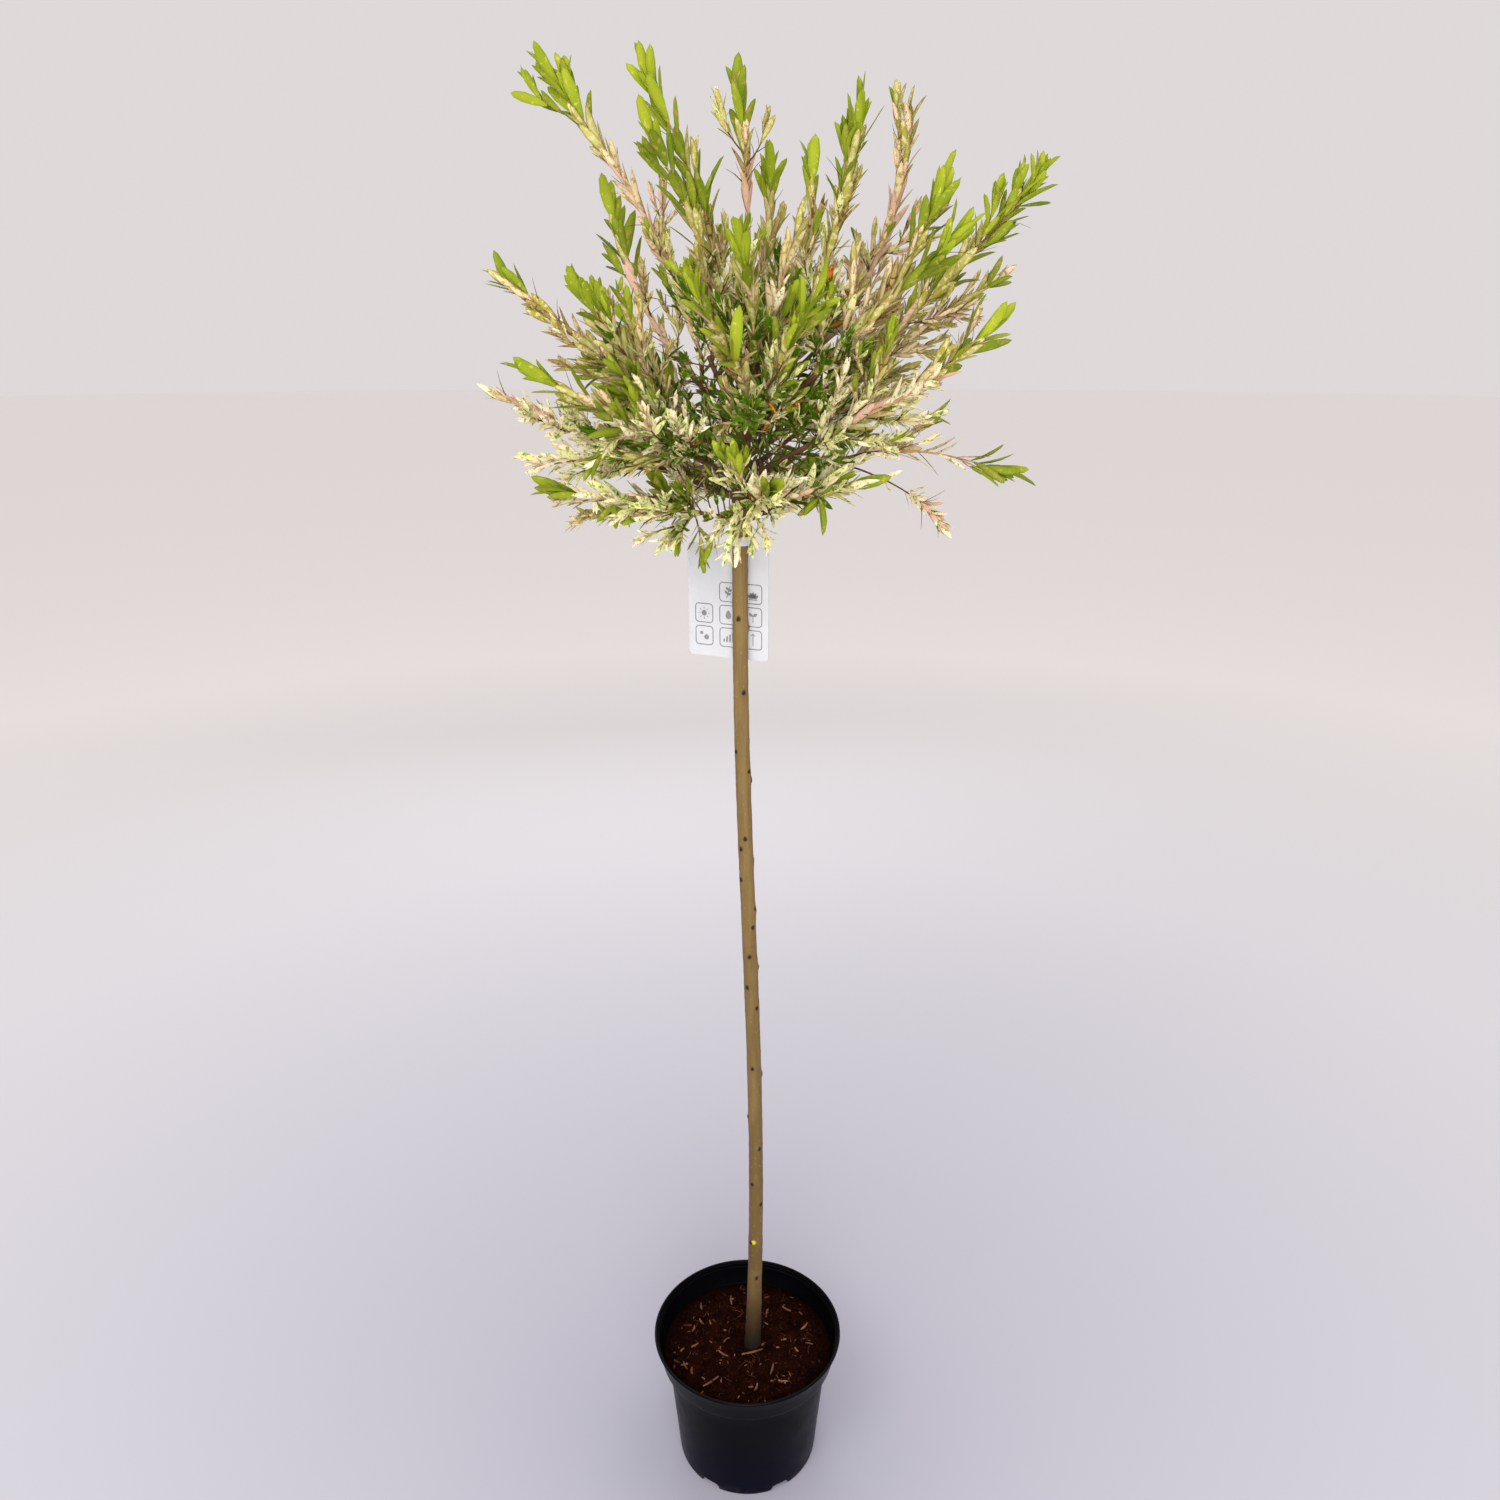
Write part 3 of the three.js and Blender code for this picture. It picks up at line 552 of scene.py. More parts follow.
class Finish:
    """A material under construction, on Object coordinates, in metres."""

    def __init__(self, name, colour):
        self.material = bpy.data.materials.new(name)
        self.material.use_nodes = True
        self.tree = self.material.node_tree
        self.shader = next(n for n in self.tree.nodes if n.type == "BSDF_PRINCIPLED")
        self.place = self.node("TexCoord").outputs["Object"]
        self.colour = colour
        self.height = None

    def node(self, kind, settings=None, numbered=None, **inputs):
        return add_node(self.tree, "ShaderNode" + kind, settings, numbered, **inputs)

    def stretched(self, stretch, shift=0.0):
        """The place for a texture to read, stretched along the axes and shifted."""
        moved = (shift, shift * 0.7, shift * 1.3)
        mapping = self.node("Mapping", Vector=self.place, Scale=stretch, Location=moved)
        return mapping.outputs["Vector"]

    def grain(self, size, stretch=(1, 1, 1), detail=3.0, roughness=0.55, shift=0.0):
        """Noise whose lumps are about size millimetres across, from 0 to 1."""
        inputs = {"Scale": 1000 / (size * 2), "Detail": detail, "Roughness": roughness}
        place = self.stretched(stretch, shift)
        return self.node("TexNoise", Vector=place, **inputs).outputs["Fac"]

    def cells(self, size, stretch):
        """The distance to the middle of the nearest of many small cells."""
        node = self.node("TexVoronoi", Vector=self.stretched(stretch), Scale=1000 / size)
        return node.outputs["Distance"]

    def marked(self, name):
        """A number that the mesh carries at each of its points."""
        return self.node("Attribute", {"attribute_name": name}).outputs["Fac"]

    def distance(self, place, point=(0, 0, 0)):
        """How far a place is from a point, in metres."""
        node = self.node("VectorMath", {"operation": "DISTANCE"}, {0: place, 1: point})
        return node.outputs["Value"]

    def along(self, axis):
        return self.node("SeparateXYZ", Vector=self.place).outputs[axis]

    def ranged(self, value, low, high, to_low=0.0, to_high=1.0):
        """As the value goes from low to high, the result goes from to_low to to_high, and no further."""
        ends = {"From_Min": low, "From_Max": high, "To_Min": to_low, "To_Max": to_high}
        return self.node("MapRange", Value=value, **ends).outputs["Result"]

    def tint(self, value, low, high, tone, to_low=0.0, to_high=1.0):
        """Lays a tone over the colour; its share follows the value as in ranged."""
        mixed = {0: self.ranged(value, low, high, to_low, to_high), 6: self.colour, 7: tone}
        self.colour = self.node("Mix", {"data_type": "RGBA"}, mixed).outputs[2]

    def times(self, first, second):
        node = self.node("Math", {"operation": "MULTIPLY"}, {0: first, 1: second})
        return node.outputs["Value"]

    def raised(self, height, depth, strength):
        """Adds a bump of the given depth in millimetres to what is there already."""
        node = self.node("Bump", Height=height, Distance=depth * MM, Strength=strength)
        if self.height is not None:
            self.tree.links.new(self.height, node.inputs["Normal"])
        self.height = node.outputs["Normal"]

    def done(self, roughness, specular):
        """The material, with its bumps; every finish has some, but for the floor's."""
        inputs = {"Base Color": self.colour, "Roughness": roughness, "Specular IOR Level": specular}
        if self.height is not None:
            inputs["Normal"] = self.height
        for name, value in inputs.items():
            plug(self.tree, self.shader.inputs[name], value)
        return self.material


def pot_plastic():
    finish = Finish("black_pot_plastic", (0.0009, 0.0009, 0.0016, 1))
    level = finish.along("Z")
    finish.tint(finish.grain(30, detail=4), 0.35, 0.7, (0.0018, 0.0018, 0.0030, 1))
    # Painted reflection of the floor: a violet-blue tint, strongest at the foot and gone 85 mm up.
    finish.tint(level, 0.01, 0.085, (0.0010, 0.0008, 0.0085, 1), 0.8, 0.0)
    low, specks = finish.ranged(level, 0.0, 0.012, 1.0, 0.0), finish.ranged(finish.grain(4), 0.45, 0.75)
    finish.tint(finish.times(low, specks), 0.0, 1.0, (0.035, 0.028, 0.024, 1))
    finish.raised(finish.grain(0.9, detail=2), 0.05, 0.5)
    finish.raised(finish.grain(14, stretch=(1, 1, 0.25)), 0.25, 0.35)
    return finish.done(finish.ranged(finish.grain(9), 0.3, 0.7, 0.30, 0.42), 0.055)


def compost_finish(name, dark, light, size):
    """Damp crumbly matter in two tones, with painted shade that darkens it close to the pot's wall."""
    finish = Finish(name, (*dark, 1))
    finish.tint(finish.grain(size), 0.35, 0.68, (*light, 1))
    across = finish.node("CombineXYZ", X=finish.along("X"), Y=finish.along("Y"))
    reach = finish.distance(across.outputs["Vector"])
    # Painted shade: the compost darkens towards the pot's wall, where the wall shades it.
    finish.tint(reach, 0.066, 0.082, (0.004, 0.0012, 0.0008, 1), 0.0, 0.75)
    finish.raised(finish.grain(1.1, detail=4), 0.5, 0.9)
    return finish.done(0.95, 0.02)


def bark_finish():
    finish = Finish("stem_bark", paint(92, 75, 40))
    level, sheen_side = finish.along("Z"), finish.marked("sheen_side")
    streaks = finish.grain(1.5, stretch=(1, 1, 0.05), detail=5, roughness=0.65)
    patches = finish.grain(9, stretch=(1, 1, 0.3), shift=3.0)
    pores = finish.cells(3.2, stretch=(1, 1, 0.6))
    lichen = finish.distance(finish.place, (0.0061, -0.0055, 0.2568))
    finish.tint(level, 0.20, 0.85, paint(120, 98, 56))
    # Painted sheen: a pale pinkish tint down the stem's two flanks, right and left as seen from the front.
    finish.tint(sheen_side, 0.80, 0.98, paint(124, 103, 86), 0.0, 0.5)
    finish.tint(sheen_side, 0.16, 0.02, paint(124, 103, 86), 0.0, 0.5)
    finish.tint(level, 0.955, 0.985, paint(84, 58, 40), 0.0, 0.8)
    finish.tint(streaks, 0.42, 0.62, paint(94, 70, 38), 0.0, 0.5)
    finish.tint(patches, 0.5, 0.72, paint(134, 110, 68), 0.0, 0.45)
    finish.tint(pores, 0.10, 0.20, paint(148, 126, 84), 0.45, 0.0)
    finish.tint(level, 0.15, 0.27, paint(72, 50, 26), 0.75, 0.0)
    finish.tint(level, 0.130, 0.190, paint(22, 12, 6), 0.95, 0.0)
    finish.tint(lichen, 0.0016, 0.0030, paint(190, 180, 40), 1.0, 0.0)
    finish.tint(finish.marked("scar"), 0.25, 0.6, paint(40, 20, 12))
    finish.raised(streaks, 0.35, 0.8)
    finish.raised(pores, 0.12, 0.5)
    return finish.done(finish.ranged(patches, 0.3, 0.7, 0.62, 0.82), 0.25)


def wood_finish(name, dark, light):
    finish = Finish(name, paint(*dark))
    tone = finish.grain(5, stretch=(1, 1, 0.6), detail=4)
    finish.tint(tone, 0.35, 0.65, paint(*light))
    finish.raised(finish.grain(0.8, detail=3), 0.15, 0.6)
    return finish.done(finish.ranged(tone, 0.3, 0.7, 0.55, 0.72), 0.3)


def leaf_finish(name, main, shade, fleck, flecked, rim, roughness):
    """Two near tones in soft patches, flecks two millimetres wide over a share of the blade, and a rim."""
    finish = Finish(name, paint(*main))
    finish.tint(finish.grain(16, detail=2), 0.38, 0.64, paint(*shade))
    edge = 0.60 - 0.22 * flecked
    finish.tint(finish.grain(1.9, detail=3, roughness=0.6, shift=1.7), edge, edge + 0.07, paint(*fleck))
    finish.tint(finish.marked("rim"), 0.5, 1.0, paint(*rim), 0.0, 0.75)
    finish.raised(finish.grain(1.2, detail=2, shift=5.0), 0.10, 0.5)
    return finish.done(roughness, 0.07)


def card_finish(name, low, high, specular):
    """Two near tones in soft patches."""
    finish = Finish(name, paint(*low))
    finish.tint(finish.grain(12), 0.3, 0.7, paint(*high))
    finish.raised(finish.grain(0.7, detail=2), 0.02, 0.4)
    return finish.done(0.42, specular)


def floor_finish():
    """A pale floor that grows lighter away from the pot."""
    finish = Finish("pale_floor", (0.40, 0.40, 0.485, 1))
    distance = finish.distance(finish.place)
    finish.tint(distance, 0.1, 1.5, (0.69, 0.69, 0.735, 1))
    finish.tint(distance, 1.5, 3.4, (0.98, 0.965, 0.955, 1))
    return finish.done(0.9, 0.1)


# Meshes


def link_object(name, data):
    thing = bpy.data.objects.new(name, data)
    bpy.context.scene.collection.objects.link(thing)
    return thing


def mesh_from(name, points, triangles, smooth=True):
    """An object at the origin from points in millimetres and triangles that face outwards."""
    points = np.asarray(points, float).reshape(-1, 3) * MM
    triangles = np.asarray(triangles, int).reshape(-1, 3)
    mesh = bpy.data.meshes.new(name)
    mesh.vertices.add(len(points))
    mesh.vertices.foreach_set("co", points.ravel())
    mesh.loops.add(triangles.size)
    mesh.loops.foreach_set("vertex_index", triangles.ravel())
    mesh.polygons.add(len(triangles))
    mesh.polygons.foreach_set("loop_start", np.arange(len(triangles)) * 3)
    mesh.polygons.foreach_set("use_smooth", np.full(len(triangles), smooth))
    mesh.update(calc_edges=True)
    return link_object(name, mesh)


def mark_points(piece, name, values):
    piece.data.attributes.new(name, "FLOAT", "POINT").data.foreach_set("value", np.asarray(values, float))


def evaluated_mesh(piece):
    """The piece's mesh as its modifiers leave it."""
    graph = bpy.context.evaluated_depsgraph_get()
    return bpy.data.meshes.new_from_object(piece.evaluated_get(graph), depsgraph=graph)


def finished(piece, material, slot, *nodes):
    """Gives a piece its material and its place in the frame."""
    piece.data.materials.clear()
    piece.data.materials.append(material)
    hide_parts(*nodes)
    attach(piece, "root")


def turns_round(count):
    """As many even turns as asked for, once round from 0, in radians."""
    return np.arange(count) * 2 * math.pi / count


def level_ring(radius, level, turns):
    return [(radius * math.cos(t), radius * math.sin(t), level) for t in turns]


def bands(rings, closed=False):
    """Rings of points, and the faces from each to the next and, if closed, from the last to the first."""
    rings = np.asarray(rings, float)
    count, sides, _ = rings.shape
    ring, side = np.divmod(np.arange((count - 1 + closed) * sides), sides)
    a, b = ring * sides + side, ring * sides + (side + 1) % sides
    c, d = (b + sides) % (count * sides), (a + sides) % (count * sides)
    return rings.reshape(-1, 3), np.vstack([np.column_stack([a, b, c]), np.column_stack([a, c, d])])


def skin(rings, foot, tip):
    """A closed skin over rings of points that go round anticlockwise as seen from the tip."""
    points, between = bands(rings)
    sides, count = len(rings[0]), len(points)
    around = np.arange(sides)
    after, last = (around + 1) % sides, count - sides
    foot_fan = np.column_stack([np.full(sides, count), after, around])
    tip_fan = np.column_stack([np.full(sides, count + 1), last + around, last + after])
    return np.vstack([points, [foot, tip]]), np.vstack([between, foot_fan, tip_fan])


def joined(parts):
    """Several meshes as one: their points and triangles, renumbered."""
    points, triangles, count = [], [], 0
    for part_points, part_triangles in parts:
        points.append(part_points)
        triangles.append(part_triangles + count)
        count += len(part_points)
    return np.vstack(points), np.vstack(triangles)


def upright(outline, depth):
    """An outline's points, which are given across and up, on the upright plane where y is the depth."""
    return np.column_stack([outline[:, 0], np.full(len(outline), depth), outline[:, 1]])


def slab(outline, thickness):
    """A flat plate in front of y = 0, from an outline that goes anticlockwise seen from the front."""
    across, up = outline.mean(0)
    rings = [upright(outline, 0), upright(outline, -thickness)]
    return skin(rings, (across, 0, up), (across, -thickness, up))


def ring_slab(outer, inner, thickness):
    """A flat ring between two outlines of as many points."""
    loops = [(outer, 0), (outer, -thickness), (inner, -thickness), (inner, 0)]
    return bands([upright(outline, depth) for outline, depth in loops], closed=True)


def rounded_box(width, height, corner, steps=5):
    outline = []
    for sign_x, sign_z, start in ((1, 1, 0), (-1, 1, 90), (-1, -1, 180), (1, -1, 270)):
        for i in range(steps + 1):
            turn = math.radians(start + 90 * i / steps)
            x = sign_x * (width / 2 - corner) + corner * math.cos(turn)
            z = sign_z * (height / 2 - corner) + corner * math.sin(turn)
            outline.append((x, z))
    return np.array(outline)


# Geometry Nodes tools


def step(tree, kind, output, **inputs):
    """What a new geometry node gives out; its inputs are as in add_node."""
    return add_node(tree, "GeometryNode" + kind, **inputs).outputs[output]


def new_tool(name):
    """A tree with a geometry input and a geometry output, and the socket where the first comes in."""
    tree = bpy.data.node_groups.new(name, "GeometryNodeTree")
    for way in ("INPUT", "OUTPUT"):
        tree.interface.new_socket("Geometry", in_out=way, socket_type="NodeSocketGeometry")
    return tree, tree.nodes.new("NodeGroupInput").outputs["Geometry"]


def end_tool(tree, geometry, material, smooth):
    shaded = step(tree, "SetShadeSmooth", "Geometry", Geometry=geometry, Shade_Smooth=smooth)
    real = step(tree, "RealizeInstances", "Geometry", Geometry=shaded)
    painted = step(tree, "SetMaterial", "Geometry", Geometry=real, Material=material)
    tree.links.new(painted, tree.nodes.new("NodeGroupOutput").inputs["Geometry"])


def run_tool(source, tree, name):
    """The tool's result on the source, as a plain mesh object; the source goes."""
    source.modifiers.new("tool", "NODES").node_group = tree
    mesh = evaluated_mesh(source)
    mesh.name = name
    bpy.data.objects.remove(source)
    return link_object(name, mesh)


def random_between(tree, low, high, seed):
    """A number by chance between two numbers, or a vector between two vectors."""
    kind, first, output = ("FLOAT_VECTOR", 0, 0) if isinstance(low, tuple) else ("FLOAT", 2, 1)
    ends = {first: low, first + 1: high}
    return add_node(tree, "FunctionNodeRandomValue", {"data_type": kind}, ends, Seed=seed).outputs[output]


def scatter_tool(name, shape, tilt, material, density, smallest, largest, seed):
    """Strews small bodies over a surface, each turned and sized by chance."""
    tree, surface = new_tool(name)
    points = step(tree, "DistributePointsOnFaces", "Points", Mesh=surface, Density=density, Seed=seed)
    stand = {
        "Rotation": random_between(tree, (-tilt, -tilt, 0), (tilt, tilt, 2 * math.pi), seed),
        "Scale": random_between(tree, smallest, largest, seed),
    }
    strewn = step(tree, "InstanceOnPoints", "Instances", Points=points, Instance=shape(tree), **stand)
    end_tool(tree, strewn, material, False)
    return tree


def roughened(tree, geometry, amount):
    """Pushes each corner of a small body about, by up to the given share of a millimetre."""
    push = random_between(tree, (-amount * MM,) * 3, (amount * MM,) * 3, 4)
    return step(tree, "SetPosition", "Geometry", Geometry=geometry, Offset=push)


def crumb(tree):
    return roughened(tree, step(tree, "MeshIcoSphere", "Mesh", Radius=MM, Subdivisions=1), 0.32)


def chip(tree):
    size = (8 * MM, 1.4 * MM, 0.6 * MM)
    return roughened(tree, step(tree, "MeshCube", "Mesh", Size=size, Vertices_X=4), 0.28)


def fibre(tree):
    bends = {"Start": (-5 * MM, 0, 0), "Middle": (0, 3 * MM, 1.2 * MM), "End": (5 * MM, -1 * MM, 0)}
    thread = step(tree, "CurveQuadraticBezier", "Curve", Resolution=6, **bends)
    return round_tube(tree, thread, 4, 0.22 * MM, 1.0)


def round_tube(tree, curve, sides, radius, scale):
    """A tube along a curve, with closed ends."""
    section = step(tree, "CurvePrimitiveCircle", "Curve", Resolution=sides, Radius=radius)
    return step(tree, "CurveToMesh", "Mesh", Curve=curve, Profile_Curve=section, Scale=scale, Fill_Caps=True)


def shoots_piece(name, shoots, material, sides):
    """One piece of round shoots, each given as a row of points and the thickness at each point."""
    points = np.vstack([row for row, _ in shoots])
    edges, count = [], 0
    for row, _ in shoots:
        edges += [(count + i, count + i + 1) for i in range(len(row) - 1)]
        count += len(row)
    mesh = bpy.data.meshes.new(name)
    mesh.from_pydata((points * MM).tolist(), edges, [])
    source = link_object(name + "_rows", mesh)
    mark_points(source, "thickness", np.concatenate([widths for _, widths in shoots]) * MM)
    tree, threads = new_tool("round_shoots")
    rows = step(tree, "MeshToCurve", "Curve", Mesh=threads)
    thickness = add_node(tree, "GeometryNodeInputNamedAttribute", {"data_type": "FLOAT"}, Name="thickness")
    tubes = round_tube(tree, rows, sides, 1.0, thickness.outputs["Attribute"])
    end_tool(tree, tubes, material, True)
    return run_tool(source, tree, name)


# Chance that is the same on every run


def seeded_random(seed):
    """Draws from 0 to 1, by the usual 32-bit numbers of a linear congruential generator."""
    state = seed

    def draw():
        nonlocal state
        state = (1664525 * state + 1013904223) % 2**32
        return state / 2**32

    return draw


def uneven(random, least=0.7, added=0.6):
    """A factor by chance: the least, and up to as much more as can be added."""
    return least + added * random()


def swing(random, width):
    """By chance, up to half the width to either side of 0."""
    return width * (random() - 0.5)


def picked(weights, random):
    """One of the names in a table of weights."""
    left = random() * sum(weights.values())
    for name, weight in weights.items():
        left -= weight
        if left <= 0:
            break
    return name


def ripple(x, y, z, size):
    """Smooth noise from -1 to 1 whose lumps are about size millimetres across."""
    return noise.noise(Vector((x / size, y / size, z / size)))


# Pot


def make_pot():
    turns = turns_round(POT_SIDES)
    rings = [level_ring(radius, level, turns) for radius, level in POT_OUTSIDE + POT_INSIDE]
    pot = mesh_from("pot_shell", *skin(rings, (0, 0, 0), (0, 0, POT_FLOOR)))
    arch, arch_triangles = slab(rounded_box(DRAIN_WIDTH, DRAIN_HEIGHT * 2, DRAIN_CORNER), DRAIN_DEPTH)
    across, out, up = arch.T
    out = out + FOOT_RADIUS + DRAIN_DEPTH / 2
    cutters = []
    for i in range(DRAIN_COUNT):
        turn = math.radians(FIRST_DRAIN_DEG + 360 / DRAIN_COUNT * i)
        x = out * math.cos(turn) - across * math.sin(turn)
        y = out * math.sin(turn) + across * math.cos(turn)
        cutters.append((np.column_stack([x, y, up]), arch_triangles[:, ::-1]))
    cutter = mesh_from("drain_cutter", *joined(cutters))
    cut = pot.modifiers.new("drains", "BOOLEAN")
    cut.operation, cut.solver, cut.object = "DIFFERENCE", "EXACT", cutter
    mesh = evaluated_mesh(pot)
    pot.modifiers.clear()
    pot.data = mesh
    bpy.data.objects.remove(cutter)
    mesh.shade_smooth()
    mesh.set_sharp_from_angle(angle=math.radians(POT_CREASE_DEG))
    finished(pot, pot_plastic(), "pot", "pot")


# Compost


def soil_level(radius):
    """The dome of the compost, which sinks towards the pot's wall."""
    share = radius / SOIL_EDGE_RADIUS
    return SOIL_LEVEL + SOIL_DOME - (SOIL_LEVEL + SOIL_DOME - SOIL_EDGE_LEVEL) * share**SOIL_FALL


def bed_point(radius, turn):
    """A point of the bed under the loose crumbs: lumpy, but even at the wall, and hollow round the stem."""
    x, y = radius * math.cos(turn), radius * math.sin(turn)
    rough = sum(height * ripple(x, y, place, width) for height, place, width in BED_LUMPS)
    rough *= min(1, (SOIL_EDGE_RADIUS - radius) / BED_EVEN_EDGE)
    off = (math.hypot(x - HOLLOW_X, y) - HOLLOW_RADIUS) / HOLLOW_WIDTH
    hollow = -HOLLOW_DEPTH * math.exp(-(off**2))
    return x, y, soil_level(radius) + rough + hollow - BED_SINK


def make_compost():
    turns = turns_round(BED_SIDES)
    radii = np.linspace(SOIL_EDGE_RADIUS, BED_INNER_RADIUS, BED_RINGS)
    top = [[bed_point(radius, turn) for turn in turns] for radius in radii]
    rings = [level_ring(BED_LOWER_RADIUS, BED_LOWER_LEVEL, turns)] + top
    middle = (0, 0, SOIL_LEVEL + SOIL_DOME - BED_SINK)
    bed = mesh_from("compost_bed", *skin(rings, (0, 0, BED_LOWER_LEVEL), middle))
    # The bed's finish carries the painted shade near the pot's wall.
    bed_with_wall_shade = compost_finish("compost_bed", (0.0040, 0.0008, 0.0005), (0.015, 0.0032, 0.0016), 5)
    finished(bed, bed_with_wall_shade, "compost", "compost")

    dark = compost_finish("dark_crumbs", (0.0050, 0.0010, 0.0006), (0.020, 0.0044, 0.0020), 7)
    warm = compost_finish("warm_crumbs", (0.020, 0.0042, 0.0020), (0.046, 0.0110, 0.0050), 9)
    pale = compost_finish("pale_chips", (0.05, 0.014, 0.007), (0.26, 0.13, 0.08), 9)
    tan = compost_finish("tan_fibres", (0.035, 0.009, 0.004), (0.13, 0.052, 0.028), 9)
    strewn = [
        ("compost_crumbs", crumb, math.pi, dark, 60000, 0.9, 2.4, 11),
        ("compost_lumps", crumb, math.pi, warm, 11000, 0.7, 1.7, 12),
        ("compost_chips", chip, 0.5, pale, 4200, 0.35, 1.3, 13),
        ("compost_fibres", fibre, 0.5, tan, 4500, 0.5, 1.4, 14),
    ]
    for name, shape, tilt, material, *numbers in strewn:
        surface = mesh_from(name + "_surface", *bands(top[2:-2]))
        piece = run_tool(surface, scatter_tool(name, shape, tilt, material, *numbers), name)
        finished(piece, material, "compost", "compost")
    make_straws(pale)


def make_straws(material):
    """Thin split straws, pressed a little into the compost, each bowed and uneven in width."""
    parts = []
    for x, y, length, turn in STRAWS:
        along = np.array((math.cos(math.radians(turn)), math.sin(math.radians(turn)), 0.0))
        aside = np.array((-along[1], along[0], 0.0))
        rings = []
        for share in np.linspace(-0.5, 0.5, 5):
            middle = np.array((x, y, 0.0)) + along * share * length + aside * STRAW_BOW * (share * 2) ** 2
            middle[2] = soil_level(math.hypot(*middle[:2])) + STRAW_LIFT + STRAW_TILT * share
            half = STRAW_WIDTH / 2 * (0.75 + 0.25 * math.cos(share * 5) + 0.12 * math.sin(x + 9 * share))
            corners = [(-1, -1), (1, -1), (0.8, 1), (-0.8, 1)]
            rings.append([middle + aside * half * a + UP * STRAW_THICKNESS / 2 * b for a, b in corners])
        parts.append(skin(rings, np.mean(rings[0], axis=0), np.mean(rings[-1], axis=0)))
    finished(mesh_from("compost_straws", *joined(parts), smooth=False), material, "compost", "compost")


# Trunk and boughs


def trunk_share(level):
    return (level - SOIL_LEVEL) / (TRUNK_TOP - SOIL_LEVEL)


def trunk_axis(level):
    x = SWAY_MEAN + SWAY * math.cos(math.pi * (level - SWAY_PEAK_LEVEL) / SWAY_HALF_WAVE)
    return np.array((x, DEPTH_SWAY * math.sin(math.pi * trunk_share(level)), level))


def trunk_radius(level):
    flare = FLARE * math.exp(-(level - SOIL_LEVEL) / FLARE_HEIGHT)
    graft = GRAFT_SWELL * math.exp(-(((level - GRAFT_LEVEL) / GRAFT_SPREAD) ** 2))
    return TRUNK_RADIUS + (TRUNK_TIP_RADIUS - TRUNK_RADIUS) * trunk_share(level) + flare + graft


def scar_places():
    """The scars on the front as they show, and more by chance round the back."""
    random = seeded_random(77)
    back = []
    level = BACK_SCARS_FROM
    while level < BACK_SCARS_TO:
        back.append((level, uneven(random, 20, 140)))
        level += uneven(random, 30, 26)
    return [(level, math.radians(turn)) for level, turn in FRONT_SCARS + back]


def bark_at(level, turn, radius, scars):
    """How far the bark is from the stem's axis at a place, and how much of a scar it is there."""
    x, y = math.cos(turn), math.sin(turn)
    lump, mark = 0.0, 0.0
    for at, scar_turn in scars:
        around = radius * math.remainder(turn - scar_turn, 2 * math.pi)
        apart = ((level - at) / SCAR_LENGTH) ** 2 + (around / SCAR_WIDTH) ** 2
        node = ((level - at + 1) / NODE_LENGTH) ** 2 + (around / NODE_WIDTH) ** 2
        lump += SCAR_HEIGHT * math.exp(-apart) + NODE_HEIGHT * math.exp(-node)
        mark = max(mark, math.exp(-1.1 * apart))
    rough = 0.28 * ripple(x * 7, y * 7, level * 0.5, 5) + 0.16 * ripple(x * 7, y * 7, level, 2.2)
    near_graft = math.exp(-(((level - GRAFT_LEVEL) / KNOB_SPREAD) ** 2))
    knob = KNOB_HEIGHT * ripple(x * 9, y * 9, level, 9) * near_graft
    return radius - 0.1 + rough + lump + knob, min(1, mark)


def make_trunk():
    scars = scar_places()
    rings, scar_marks, sheen_sides = [], [], []
    for level in np.linspace(TRUNK_FOOT, TRUNK_TOP, int((TRUNK_TOP - TRUNK_FOOT) / TRUNK_STATION)):
        axis, radius = trunk_axis(level), trunk_radius(level)
        near = [scar for scar in scars if abs(scar[0] - level) < NODE_REACH]
        rings.append([])
        for turn in turns_round(TRUNK_SIDES):
            reach, mark = bark_at(level, turn, radius, near)
            out = np.array((math.cos(turn), math.sin(turn), 0))
            rings[-1].append(axis + out * reach)
            scar_marks.append(mark)
            # How far round towards +X each point lies, which places the painted sheen on the stem's flanks.
            sheen_sides.append(0.5 + 0.5 * out[0])
    foot, tip = trunk_axis(TRUNK_FOOT), trunk_axis(TRUNK_TOP) + UP * 0.8
    piece = mesh_from("stem", *skin(rings, foot, tip))
    mark_points(piece, "scar", scar_marks + [0, 0])
    mark_points(piece, "sheen_side", sheen_sides + [0.5, 0.5])
    finished(piece, bark_finish(), "bark", "trunk")


def size_of(vector):
    return math.sqrt(vector @ vector)


def unit(vector):
    return vector / size_of(vector)


def cross(a, b):
    return np.array((a[1] * b[2] - a[2] * b[1], a[2] * b[0] - a[0] * b[2], a[0] * b[1] - a[1] * b[0]))


def curved_shoot(start, bend, end, count):
    """A row of points along a curve from start to end that leaves start towards bend."""
    t = np.linspace(0, 1, count)[:, None]
    return (1 - t) ** 2 * start + 2 * t * (1 - t) * bend + t**2 * end


def bent_shoot(start, heading, later, length):
    """A shoot that goes half its length on one heading, turns, and goes as far on a later one."""
    bend = start + heading * length * 0.5
    return curved_shoot(start, bend, bend + unit(later) * length * 0.5, TWIG_POINTS)


def point_on(shoot, share):
    place = share * (len(shoot) - 1)
    station = min(int(place), len(shoot) - 2)
    return shoot[station] + (shoot[station + 1] - shoot[station]) * (place - station)


def heading_on(shoot, share):
    station = min(int(share * (len(shoot) - 1)), len(shoot) - 2)
    return unit(shoot[station + 1] - shoot[station])


def length_of(shoot):
    return float(np.sqrt(((shoot[1:] - shoot[:-1]) ** 2).sum(1)).sum())


